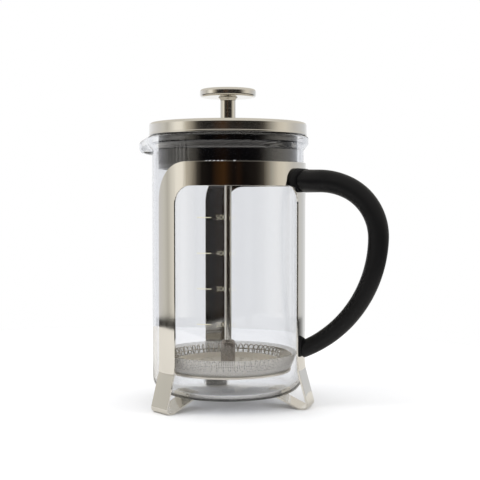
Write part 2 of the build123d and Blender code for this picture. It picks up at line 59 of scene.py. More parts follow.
Corner = tuple[float, float, float]  # (across, up, rounding radius)
Span = tuple[float, float]
Tree = bpy.types.NodeTree
Socket = bpy.types.NodeSocket
Inputs = dict[str | int, object]


# ---- nodes and colours ------------------------------------------------------------------


def linear(hex_colour: str) -> tuple[float, float, float, float]:
    """Turns an sRGB hex colour into linear light.

    Args:
        hex_colour: six hex digits, such as "c8c4bc".

    Returns:
        Linear red, green and blue, and an alpha of 1.
    """
    shares = [int(hex_colour[i : i + 2], 16) / 255 for i in (0, 2, 4)]
    red, green, blue = [s / 12.92 if s <= 0.04045 else ((s + 0.055) / 1.055) ** 2.4 for s in shares]
    return red, green, blue, 1.0


def add_node(tree: Tree, kind: str, inputs: Inputs | None = None, **settings: object) -> bpy.types.Node:
    """Adds a node with its settings and links.

    Args:
        tree: the node tree that takes it.
        kind: the node's type name.
        inputs: for each input's name or number, a socket to link from or a plain value.
        **settings: the node's own properties.

    Returns:
        The new node.
    """
    node = tree.nodes.new(kind)
    for name, value in settings.items():
        setattr(node, name, value)
    for name, value in (inputs or {}).items():
        if isinstance(value, Socket):
            tree.links.new(value, node.inputs[name])
        else:
            node.inputs[name].default_value = value
    return node


def maths(tree: Tree, operation: str, *values: float | Socket) -> Socket:
    """Adds a maths node.

    Args:
        tree: the node tree that takes it.
        operation: what it does, such as "MULTIPLY".
        *values: what goes into its inputs, in order.

    Returns:
        The socket of its result.
    """
    return add_node(tree, "ShaderNodeMath", dict(enumerate(values)), operation=operation).outputs[0]


def remap(tree: Tree, value: Socket, taken: Span, given: Span) -> Socket:
    """Adds a node that stretches one span of values onto another and stops at its ends.

    Args:
        tree: the node tree that takes it.
        value: what is mapped.
        taken: the span that it is read on.
        given: the span that comes out.

    Returns:
        The socket of its result.
    """
    ends = {"From Min": taken[0], "From Max": taken[1], "To Min": given[0], "To Max": given[1]}
    return add_node(tree, "ShaderNodeMapRange", {"Value": value, **ends}).outputs[0]


def noise(tree: Tree, place: Socket, scale: float, detail: float, roughness: float = 0.5) -> Socket:
    """Adds cloudy noise.

    Args:
        tree: the node tree that takes it.
        place: where it is read.
        scale: how many clouds fit into a metre.
        detail: how many finer layers it has.
        roughness: how strong the finer layers are.

    Returns:
        The socket of its height.
    """
    inputs = {"Vector": place, "Scale": scale, "Detail": detail, "Roughness": roughness}
    return add_node(tree, "ShaderNodeTexNoise", inputs).outputs[0]


def bump(tree: Tree, height: Socket, distance: float) -> Socket:
    """Adds a bump of a height in metres and returns its normal."""
    inputs = {"Height": height, "Distance": distance, "Strength": 1.0}
    return add_node(tree, "ShaderNodeBump", inputs).outputs[0]


def surface(tree: Tree, colour: str, inputs: Inputs) -> Socket:
    """Adds the surface shader in a colour and returns its socket."""
    return add_node(tree, "ShaderNodeBsdfPrincipled", {"Base Color": linear(colour), **inputs}).outputs[0]


# ---- finishes ---------------------------------------------------------------------------


NOISE_SPAN = (0.3, 0.7)  # where nearly all of a noise's heights lie


class Grain(Enum):
    """Which way the fine lines of a metal finish run."""

    LENGTHWISE = "lengthwise"
    AROUND = "around"


class Weave(Enum):
    """How the wires of a woven screen lie."""

    FLAT = "flat"
    WALL = "wall"


@dataclass(frozen=True)
class Finish:
    """A material, made once and then shared."""

    name: str

    def shader(self, tree: Tree) -> Socket:
        """Returns the socket of the surface's shader; each finish has its own."""
        raise NotImplementedError

    def material(self) -> bpy.types.Material:
        """Returns the finish as a material, building it the first time.

        Returns:
            The Blender material.
        """
        found = bpy.data.materials.get(self.name)
        if found:
            return found
        made = bpy.data.materials.new(self.name)
        made.use_nodes = True
        tree = made.node_tree
        tree.nodes.clear()
        add_node(tree, "ShaderNodeOutputMaterial", {"Surface": self.shader(tree)})
        return made


@dataclass(frozen=True)
class Steel(Finish):
    """Stainless steel with fine lines from brushing or turning.

    The lines spread the reflections a little and give the sheet its silky, slightly uneven
    shine. They are drawn several times as coarse as a real 180 grit, so that they show.
    """

    colour: str = "e2dfd8"
    roughness: float = 0.1
    line_pitch: float = 0.35 * MM
    line_length: float = 40 * MM
    line_depth: float = 0.003 * MM
    unevenness: Span = (0.75, 1.3)
    grain: Grain = Grain.LENGTHWISE

    def shader(self, tree: Tree) -> Socket:
        """Builds the metal with line noise in its roughness and bump.

        Args:
            tree: the material's node tree.

        Returns:
            The shader's output socket.
        """
        place = add_node(tree, "ShaderNodeTexCoord").outputs["Object"]
        if self.grain is Grain.AROUND:
            flat = add_node(tree, "ShaderNodeVectorMath", {0: place, 1: (1, 1, 0)}, operation="MULTIPLY")
            radius = add_node(tree, "ShaderNodeVectorMath", {0: flat.outputs[0]}, operation="LENGTH")
            split = add_node(tree, "ShaderNodeSeparateXYZ", {0: place})
            ring = {"X": radius.outputs["Value"], "Y": split.outputs["Z"]}
            place = add_node(tree, "ShaderNodeCombineXYZ", ring).outputs[0]
        across = 1 / self.line_pitch
        along = across if self.grain is Grain.AROUND else 1 / self.line_length
        stretched = add_node(tree, "ShaderNodeMapping", {"Vector": place, "Scale": (across, across, along)})
        lines = noise(tree, stretched.outputs[0], 1.0, 3.0, 0.6)
        least, most = self.unevenness
        rough = remap(tree, lines, NOISE_SPAN, (least * self.roughness, most * self.roughness))
        relief = bump(tree, lines, self.line_depth)
        return surface(tree, self.colour, {"Metallic": 1.0, "Roughness": rough, "Normal": relief})


@dataclass(frozen=True)
class BorosilicateGlass(Finish):
    """Clear blown glass. It shows as bright and grey edge lines, and soft light passes through it."""

    ior: float = 1.47
    tint: str = "f4f5f7"

    def shader(self, tree: Tree) -> Socket:
        """Builds the glass, clear to the rays that carry soft light and shadow.

        Args:
            tree: the material's node tree.

        Returns:
            The shader's output socket.
        """
        clear = add_node(tree, "ShaderNodeBsdfTransparent", {"Color": linear(self.tint)})
        glass = surface(tree, self.tint, {"Roughness": 0.0, "IOR": self.ior, "Transmission Weight": 1.0})
        ray = add_node(tree, "ShaderNodeLightPath").outputs
        soft = maths(tree, "MAXIMUM", ray["Is Shadow Ray"], ray["Is Diffuse Ray"])
        return add_node(tree, "ShaderNodeMixShader", {0: soft, 1: glass, 2: clear.outputs[0]}).outputs[0]


@dataclass(frozen=True)
class Plastic(Finish):
    """Moulded or coated plastic with a fine grain, which keeps its shine soft and even."""

    colour: str = "17171a"
    roughness: float = 0.3
    grain_size: float = 0.4 * MM
    grain_depth: float = 0.003 * MM
    unevenness: Span = (0.85, 1.15)
    sheen: float = 0.0
    sheen_roughness: float = 0.4
    shine: float = 0.5

    def shader(self, tree: Tree) -> Socket:
        """Builds the plastic with grain in its roughness and bump.

        Args:
            tree: the material's node tree.

        Returns:
            The shader's output socket.
        """
        place = add_node(tree, "ShaderNodeTexCoord").outputs["Object"]
        grain = noise(tree, place, 1 / self.grain_size, 4.0, 0.55)
        least, most = self.unevenness
        coat = {
            "Roughness": remap(tree, grain, NOISE_SPAN, (least * self.roughness, most * self.roughness)),
            "Normal": bump(tree, grain, self.grain_depth),
            "Specular IOR Level": self.shine,
            "Sheen Weight": self.sheen,
            "Sheen Roughness": self.sheen_roughness,
        }
        return surface(tree, self.colour, coat)


@dataclass(frozen=True)
class WovenSteel(Finish):
    """Plain woven stainless wire: a grey veil that lets light through between its wires.

    The mesh is drawn several times as coarse as a real one, so that its wires still show.
    """

    wire_pitch: float = 0.9 * MM
    wire_depth: float = 0.12 * MM
    wire_edge: Span = (0.4, 0.75)
    gap_cover: float = 0.05
    colour: str = "f6f3ee"
    metal: float = 0.6
    roughness: float = 0.4
    weave: Weave = Weave.FLAT

    def shader(self, tree: Tree) -> Socket:
        """Builds crossing wires as bump and as see-through gaps.

        Args:
            tree: the material's node tree.

        Returns:
            The shader's output socket.
        """
        places = add_node(tree, "ShaderNodeTexCoord").outputs
        place = places["Object"] if self.weave is Weave.FLAT else places["UV"]
        split = add_node(tree, "ShaderNodeSeparateXYZ", {0: place})
        turns = 2 * math.pi / self.wire_pitch
        waves = [maths(tree, "SINE", maths(tree, "MULTIPLY", split.outputs[axis], turns)) for axis in "XY"]
        height = maths(tree, "MAXIMUM", *waves)
        wires = {
            "Metallic": self.metal,
            "Roughness": self.roughness,
            "Alpha": remap(tree, height, self.wire_edge, (self.gap_cover, 1.0)),
            "Normal": bump(tree, height, self.wire_depth),
        }
        return surface(tree, self.colour, wires)


@dataclass(frozen=True)
class Ink(Finish):
    """Baked enamel print on glass: matt, with a slightly cloudy shine."""

    colour: str = "d8d2b8"
    cloud_size: float = 1.0 * MM
    roughness: Span = (0.4, 0.6)

    def shader(self, tree: Tree) -> Socket:
        """Builds the enamel with a little cloudiness in its shine.

        Args:
            tree: the material's node tree.

        Returns:
            The shader's output socket.
        """
        place = add_node(tree, "ShaderNodeTexCoord").outputs["Object"]
        cloud = noise(tree, place, 1 / self.cloud_size, 2.0)
        return surface(tree, self.colour, {"Roughness": remap(tree, cloud, (0.0, 1.0), self.roughness)})


FRAME_STEEL = Steel("brushed_stainless_sheet", roughness=0.05, line_length=60 * MM)
LID_STEEL = Steel("spun_stainless_sheet", roughness=0.12, grain=Grain.AROUND)
TURNED_STEEL = Steel("turned_stainless", roughness=0.13, grain=Grain.AROUND)
# Pressed plates: the same stainless made pale cream, painted light for the bright cream reflection they show
PRESSED_STEEL_PAINTED_LIGHT = Steel("pressed_stainless_painted_light", colour="fffaf0", roughness=0.5, line_length=2 * MM)
# Hub: the turned stainless made darker, painted shade for the dark surroundings that it reflects
HUB_STEEL_PAINTED_SHADE = Steel("turned_hub_stainless_painted_shade", colour="a9a29b", roughness=0.24, line_length=2 * MM)
SPRING_STEEL = Steel("drawn_spring_wire", colour="c2bcb0", roughness=0.12, line_length=2 * MM)
FASTENER_STEEL = Steel("zinc_plated_steel", colour="bfc0c0", roughness=0.25, line_length=1 * MM)
BRASS = Steel("turned_brass", colour="c9a25a", roughness=0.25, grain=Grain.AROUND)
GLASS = BorosilicateGlass("blown_borosilicate")
SOFT_TOUCH = Plastic("soft_touch_coating", colour="0a0a0c", roughness=0.45, sheen=0.02, shine=0.22)
MOULDED_BLACK = Plastic("moulded_polypropylene", colour="08080a", roughness=0.12, shine=0.95)
SCREEN_FLOOR = WovenSteel("woven_wire_flat")
SCREEN_WALL = WovenSteel("woven_wire_wall", weave=Weave.WALL)
SCALE_INK = Ink("cream_enamel_print")


# ---- mesh helpers -----------------------------------------------------------------------


def rounded(
    corners: Sequence[Corner], closed: bool = True, arc_step: float = 12.0
) -> list[tuple[float, float]]:
    """Rounds the corners of an outline, with a guard point beside each arc to keep flats flat.

    Args:
        corners: the outline's corners with their rounding radii.
        closed: whether the last corner joins the first.
        arc_step: degrees between the points of an arc.

    Returns:
        The outline's points.
    """
    points: list[tuple[float, float]] = []
    count = len(corners)
    for i, (across, up, radius) in enumerate(corners):
        at_end = not closed and i in (0, count - 1)
        if radius <= 0 or at_end:
            points.append((across, up))
            continue
        here = Vector((across, up))
        back = Vector(corners[i - 1][:2]) - here
        ahead = Vector(corners[(i + 1) % count][:2]) - here
        half = back.angle(ahead) / 2
        reach = radius / math.tan(half)
        centre = here + (back.normalized() + ahead.normalized()).normalized() * (radius / math.sin(half))
        start = here + back.normalized() * reach
        end = here + ahead.normalized() * reach
        turn = math.pi - 2 * half
        if back.cross(ahead) > 0:
            turn = -turn
        first = math.atan2(start.y - centre.y, start.x - centre.x)
        steps = max(2, math.ceil(abs(math.degrees(turn)) / arc_step))
        guard = 0.12 * radius
        if back.length - reach > 3 * guard:
            points.append(tuple(start + back.normalized() * guard))
        for k in range(steps + 1):
            angle = first + turn * k / steps
            points.append((centre.x + radius * math.cos(angle), centre.y + radius * math.sin(angle)))
        if ahead.length - reach > 3 * guard:
            points.append(tuple(end + ahead.normalized() * guard))
    return points


def new_object(
    name: str,
    points: Sequence[Sequence[float]],
    faces: Sequence[Sequence[int]],
    finish: Finish,
    sharp: float = 40.0,
) -> bpy.types.Object:
    """Makes a smooth-shaded mesh object.

    Args:
        name: the object's name.
        points: its vertices, in metres.
        faces: its faces, as rows of vertex numbers.
        finish: its finish.
        sharp: edges sharper than this many degrees stay crisp.

    Returns:
        The new object.
    """
    mesh = bpy.data.meshes.new(name)
    mesh.from_pydata([tuple(p) for p in points], [], faces)
    mesh.materials.append(finish.material())
    mesh.shade_smooth()
    mesh.set_sharp_from_angle(angle=math.radians(sharp))
    made = bpy.data.objects.new(name, mesh)
    bpy.context.scene.collection.objects.link(made)
    return made


def place_piece(piece: bpy.types.Object, body: str, slot: str, *nodes: str) -> bpy.types.Object:
    """Puts a finished piece on its body and in place of its CAD nodes.

    Args:
        piece: the finished piece.
        body: the CAD body that it rides on.
        slot: the record's material slot; not used.
        *nodes: the CAD nodes that it stands for.

    Returns:
        The same piece.
    """
    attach(piece, body)
    if nodes:
        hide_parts(*nodes)
    LOG.info("%s rides on %s, %d faces", piece.name, body, len(piece.data.polygons))
    return piece


def dress(node: str, finish: Finish) -> None:
    """Gives a CAD node that stays visible its finish.

    Args:
        node: the CAD node's name.
        finish: its finish.
    """
    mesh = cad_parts[node].data
    mesh.materials.clear()
    mesh.materials.append(finish.material())
    LOG.info("%s dressed in %s", node, finish.name)


def revolve(
    name: str,
    outline: Sequence[tuple[float, float]],
    finish: Finish,
    steps: int = 128,
    ripple: Callable[[float, float, float], float] | None = None,
) -> bpy.types.Object:
    """Turns a closed outline about the Z axis.

    Args:
        name: the object's name.
        outline: (radius, height) points, anticlockwise; points on the axis become poles.
        finish: its finish.
        steps: how many columns go round.
        ripple: adds to the radius, given (angle, radius, height).

    Returns:
        The turned object.
    """
    points: list[tuple[float, float, float]] = []
    rows: list[list[int]] = []
    for radius, height in outline:
        on_axis = radius < 1e-7
        row = []
        for column in range(1 if on_axis else steps):
            angle = 2 * math.pi * column / steps
            reach = radius + (ripple(angle, radius, height) if ripple else 0.0)
            row.append(len(points))
            points.append((reach * math.cos(angle), reach * math.sin(angle), height))
        rows.append(row if not on_axis else row * steps)
    faces = []
    for low, high in zip(rows, rows[1:] + rows[:1]):
        if low[0] == low[1] and high[0] == high[1]:
            continue
        for column in range(steps):
            after = (column + 1) % steps
            ring = [low[column], low[after], high[after], high[column]]
            faces.append([v for k, v in enumerate(ring) if v not in ring[:k]])
    return new_object(name, points, faces, finish)


@dataclass
class FlatPlate:
    """A plate laid out flat: its points as (along, up) and its faces, anticlockwise."""

    points: list[tuple[float, float]]
    faces: list[list[int]]

    @classmethod
    def from_outline(
        cls, outline: Sequence[tuple[float, float]], cuts: Sequence[float], levels: Sequence[float]
    ) -> "FlatPlate":
        """Cuts a flat outline into cells that can follow a bend.

        Args:
            outline: its points, anticlockwise.
            cuts: where to cut it upright.
            levels: where to cut it level.

        Returns:
            The flat plate.
        """
        sheet = bmesh.new()
        sheet.faces.new([sheet.verts.new((along, up, 0)) for along, up in outline])
        planes = [((cut, 0, 0), (1, 0, 0)) for cut in cuts]
        planes += [((0, level, 0), (0, 1, 0)) for level in levels]
        for point, normal in planes:
            everything = sheet.verts[:] + sheet.edges[:] + sheet.faces[:]
            bmesh.ops.bisect_plane(sheet, geom=everything, dist=1e-7, plane_co=point, plane_no=normal)
        sheet.verts.index_update()
        points = [(v.co.x, v.co.y) for v in sheet.verts]
        faces = [[v.index for v in face.verts] for face in sheet.faces]
        sheet.free()
        return cls(points, faces)

    def bend(
        self, name: str, place: Callable[[float, float, float], Sequence[float]], finish: Finish, edge: float
    ) -> bpy.types.Object:
        """Gives the plate its bent shape, its thickness and eased edges.

        Args:
            name: the object's name.
            place: gives a point's place from (along, up, depth), depth 0 inside to 1 outside.
            finish: its finish.
            edge: how far its edges are eased.

        Returns:
            The bent plate.
        """
        count = len(self.points)
        points = [place(along, up, 1.0) for along, up in self.points]
        points += [place(along, up, 0.0) for along, up in self.points]
        faces = [list(face) for face in self.faces]
        faces += [[count + v for v in reversed(face)] for face in self.faces]
        sides = {(a, b) for face in self.faces for a, b in zip(face, face[1:] + face[:1])}
        faces += [[b, a, count + a, count + b] for a, b in sides if (b, a) not in sides]
        made = new_object(name, points, faces, finish)
        ease = made.modifiers.new("eased_edges", "BEVEL")
        ease.width = edge
        ease.segments = 3
        ease.limit_method = "ANGLE"
        ease.angle_limit = math.radians(60)
        ease.harden_normals = True
        return made


def start_group(name: str, sizes: dict[str, float]) -> tuple[Tree, bpy.types.bpy_prop_collection]:
    """Starts a Geometry Nodes tree with a named input for each size.

    Args:
        name: the tree's name.
        sizes: the value of each input; a whole number gets a whole input.

    Returns:
        The tree, and the sockets that hand out its inputs.
    """
    tree = bpy.data.node_groups.new(name, "GeometryNodeTree")
    face = tree.interface
    face.new_socket("Geometry", in_out="OUTPUT", socket_type="NodeSocketGeometry")
    for size_name, value in sizes.items():
        kind = "NodeSocketInt" if isinstance(value, int) else "NodeSocketFloat"
        face.new_socket(size_name, in_out="INPUT", socket_type=kind)
    return tree, add_node(tree, "NodeGroupInput").outputs


def grow(
    tree: Tree, name: str, sizes: dict[str, float], geometry: Socket, finish: Finish
) -> bpy.types.Object:
    """Ends a Geometry Nodes tree, runs it and keeps its result as a plain mesh.

    Args:
        tree: the tree, started by start_group.
        name: the piece's name.
        sizes: the value of each named input.
        geometry: the socket that holds the finished geometry.
        finish: the piece's finish.

    Returns:
        The piece, with no modifier left on it.
    """
    real = add_node(tree, "GeometryNodeRealizeInstances", {0: geometry})
    paint = {"Geometry": real.outputs[0], "Material": finish.material()}
    painted = add_node(tree, "GeometryNodeSetMaterial", paint)
    add_node(tree, "NodeGroupOutput", {0: painted.outputs[0]})
    holder = bpy.data.objects.new(name, bpy.data.meshes.new(name))
    bpy.context.scene.collection.objects.link(holder)
    nodes = holder.modifiers.new("nodes", "NODES")
    nodes.node_group = tree
    sockets = {s.name: s.identifier for s in tree.interface.items_tree if s.in_out == "INPUT"}
    for size_name, value in sizes.items():
        nodes[sockets[size_name]] = value
    bpy.context.view_layer.update()
    grown = bpy.data.meshes.new_from_object(holder.evaluated_get(bpy.context.evaluated_depsgraph_get()))
    holder.modifiers.remove(nodes)
    holder.data = grown
    grown.name = name
    grown.shade_smooth()
    grown.set_sharp_from_angle(angle=math.radians(50))
    return holder


# ---- beaker -----------------------------------------------------------------------------


@dataclass
class Beaker:
    """The glass with its pulled spout, and the scale printed on it."""

    radius: float = 43.0 * MM
    wall: float = 2.2 * MM
    base_thickness: float = 2.8 * MM
    base_kick: float = 0.7 * MM
    heel: float = 9.0 * MM
    flare: float = 2.7 * MM
    flare_drop: float = 8.4 * MM
    bead_drop: float = 3.0 * MM
    spout_reach: float = 11.3 * MM
    spout_drop: float = 10.4 * MM
    spout_droop: float = 3.2 * MM
    spout_half_angle: float = 25.0
    spout_sharpness: float = 9.0
    spout_taper: float = 1.2
    droop_taper: float = 1.3
    droop_climb: float = 1.5
    steps: int = 240
    bend_rows: int = 12
    side_rows: int = 8
    mouth_rows: int = 30
    mouth_crowding: float = 1.4
    rim_steps: int = 8
    tick_points: int = 12
    tick_angles: tuple[float, float] = (-92.6, -82.1)
    tick_width: float = 0.36 * MM
    first_volume: int = 200
    last_volume: int = 500
    volume_step: int = 100
    first_tick: float = 50.1 * MM
    tick_spacing: float = 19.0 * MM
    numeral_angle: float = -78.8
    numeral_size: float = 3.9 * MM
    stroke_thinning: float = 0.12 * MM
    print_height: float = 0.03 * MM

    def __post_init__(self) -> None:
        """Reads the glass's lowest and highest points from the frame."""
        low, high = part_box("beaker")
        self.base = low.z
        self.rim = high.z

    def wall_rows(self) -> list[tuple[float, float, float, float]]:
        """Follows the middle of the glass from the axis to the rim.

        Returns:
            Rows of (radius, height, thickness, how far up the spout from 0 to 1).
        """
        rows = []
        middle = self.radius - self.wall / 2
        floor = self.base + self.base_thickness / 2
        heel = self.heel - self.wall / 2
        flat = middle - heel
        for k in range(self.bend_rows + 1):
            radius = flat * k / self.bend_rows
            lift = self.base_kick * (0.5 + 0.5 * math.cos(math.pi * radius / flat))
            rows.append((radius, floor + lift, self.base_thickness, 0.0))
        for k in range(1, self.bend_rows + 1):
            turn = math.radians(90 * k / self.bend_rows)
            thickness = self.base_thickness + (self.wall - self.base_thickness) * k / self.bend_rows
            rows.append((flat + heel * math.sin(turn), floor + heel - heel * math.cos(turn), thickness, 0.0))
        spout_start = self.rim - self.spout_drop + self.wall / 2
        top = self.rim - self.wall / 2
        side_start = floor + heel
        for k in range(1, self.side_rows + 1):
            height = side_start + (spout_start - side_start) * k / (self.side_rows + 1)
            rows.append((middle, height, self.wall, 0.0))
        flare_start = self.rim - self.flare_drop
        flare_end = self.rim - self.bead_drop
        for k in range(self.mouth_rows + 1):
            height = spout_start + (top - spout_start) * (k / self.mouth_rows) ** self.mouth_crowding
            share = min(max((height - flare_start) / (flare_end - flare_start), 0.0), 1.0)
            out = self.flare * share**3 * (10 - 15 * share + 6 * share * share)
            rows.append((middle + out, height, self.wall, (height - spout_start) / (top - spout_start)))
        return rows

    def middle_surface(self) -> tuple[np.ndarray, np.ndarray]:
        """Turns the wall about the axis and pulls the spout out of it.

        Returns:
            Points as [row, column, xyz], and the thickness of each row.
        """
        rows = self.wall_rows()
        middle = self.radius - self.wall / 2
        angles = 2 * np.pi * np.arange(self.steps) / self.steps
        away = np.degrees(np.abs((angles + np.pi) % (2 * np.pi) - np.pi))
        swell = 0.5 + 0.5 * np.cos(np.pi * np.minimum(away / self.spout_half_angle, 1))
        pull = np.where(away < self.spout_half_angle, swell**self.spout_taper, 0.0)
        points = np.zeros((len(rows), self.steps, 3))
        for i, (radius, height, _, climb) in enumerate(rows):
            nose = middle + self.spout_reach * (1 - (1 - climb) ** self.spout_sharpness)
            reach = radius + pull * (nose - radius) * (climb > 0)
            points[i, :, 0] = -reach * np.cos(angles)
            points[i, :, 1] = -reach * np.sin(angles)
            droop = self.spout_droop * climb**self.droop_climb
            points[i, :, 2] = height - droop * pull**self.droop_taper
        return points, np.array([row[2] for row in rows])

    def glass(self) -> bpy.types.Object:
        """Builds the glass wall around its middle surface, with a rounded rim.

        Returns:
            The glass object.
        """
        middle, thickness = self.middle_surface()
        around = np.roll(middle, -1, axis=1) - np.roll(middle, 1, axis=1)
        along = np.gradient(middle, axis=0)
        normal = np.cross(around, along)
        normal[0] = (0, 0, -1)
        normal /= np.linalg.norm(normal, axis=2, keepdims=True)
        half = (thickness / 2)[:, None, None]
        lip = along[-1] / np.linalg.norm(along[-1], axis=1, keepdims=True)
        rings = list(middle + normal * half)
        for k in range(1, self.rim_steps):
            turn = math.pi * k / self.rim_steps
            side = normal[-1] * math.cos(turn) + lip * math.sin(turn)
            rings.append(middle[-1] + side * self.wall / 2)
        rings += list((middle - normal * half)[::-1])
        points = np.array(rings)
        flat = [tuple(p) for ring in points[1:-1] for p in ring]
        under = len(flat)
        flat += [tuple(points[0].mean(axis=0)), tuple(points[-1].mean(axis=0))]
        count = len(points) - 2
        faces = []
        for column in range(self.steps):
            after = (column + 1) % self.steps
            faces.append([under, after, column])
            last = (count - 1) * self.steps
            faces.append([last + column, last + after, under + 1])
            for row in range(count - 1):
                low, high = row * self.steps, (row + 1) * self.steps
                faces.append([low + column, low + after, high + after, high + column])
        return new_object("glass_beaker", flat, faces, GLASS, sharp=60.0)

    def ticks(self) -> bpy.types.Object:
        """Prints the scale's lines, one for each 100 ml.

        Returns:
            The lines as one mesh.
        """
        sizes = {
            "Radius": self.radius + self.print_height,
            "Start Angle": math.radians(self.tick_angles[0]),
            "Sweep": math.radians(self.tick_angles[1] - self.tick_angles[0]),
            "Width": self.tick_width,
            "First Height": self.first_tick,
            "Spacing": self.tick_spacing,
            "Count": (self.last_volume - self.first_volume) // self.volume_step + 1,
        }
        tree, given = start_group("scale_lines", sizes)
        bend = {"Start Angle": given["Start Angle"], "Sweep Angle": given["Sweep"]}
        arc = add_node(
            tree,
            "GeometryNodeCurveArc",
            {"Resolution": self.tick_points, "Radius": given["Radius"], **bend},
        )
        profile = add_node(
            tree,
            "GeometryNodeCurvePrimitiveQuadrilateral",
            {"Width": self.print_height, "Height": given["Width"]},
        )
        line = add_node(
            tree,
            "GeometryNodeCurveToMesh",
            {"Curve": arc.outputs[0], "Profile Curve": profile.outputs[0], "Fill Caps": True},
        )
        start = add_node(tree, "ShaderNodeCombineXYZ", {"Z": given["First Height"]}).outputs[0]
        step = add_node(tree, "ShaderNodeCombineXYZ", {"Z": given["Spacing"]}).outputs[0]
        stack = add_node(
            tree,
            "GeometryNodeMeshLine",
            {"Count": given["Count"], "Start Location": start, "Offset": step},
        )
        copies = add_node(
            tree,
            "GeometryNodeInstanceOnPoints",
            {"Points": stack.outputs[0], "Instance": line.outputs[0]},
        )
        return grow(tree, "scale_lines", sizes, copies.outputs[0], SCALE_INK)

    def numeral(self, volume: int) -> bpy.types.Object:
        """Prints one volume beside its line, bent round the glass.

        Args:
            volume: the volume in millilitres.

        Returns:
            The numeral as a mesh.
        """
        text = bpy.data.curves.new(f"scale_{volume}", "FONT")
        text.body = f"{volume} ml"
        text.size = self.numeral_size
        text.align_y = "CENTER"
        text.extrude = self.print_height / 2
        text.offset = -self.stroke_thinning
        holder = bpy.data.objects.new(f"scale_{volume}", text)
        bpy.context.scene.collection.objects.link(holder)
        bpy.context.view_layer.update()
        mesh = bpy.data.meshes.new_from_object(holder.evaluated_get(bpy.context.evaluated_depsgraph_get()))
        bpy.data.objects.remove(holder)
        height = self.first_tick + self.tick_spacing * (volume - self.first_volume) / self.volume_step
        points = []
        for vertex in mesh.vertices:
            angle = math.radians(self.numeral_angle) + vertex.co.x / self.radius
            radius = self.radius + self.print_height + vertex.co.z
            points.append((radius * math.cos(angle), radius * math.sin(angle), height + vertex.co.y))
        faces = [list(polygon.vertices) for polygon in mesh.polygons]
        bpy.data.meshes.remove(mesh)
        return new_object(f"scale_{volume}_ml", points, faces, SCALE_INK)

    def build(self) -> None:
        """Builds the glass and its scale and puts them on the beaker's body."""
        place_piece(self.glass(), "beaker", "beaker_glass", "beaker")
        place_piece(self.ticks(), "beaker", "beaker_glass")
        for volume in range(self.first_volume, self.last_volume + 1, self.volume_step):
            place_piece(self.numeral(volume), "beaker", "beaker_glass")


# ---- frame ------------------------------------------------------------------------------


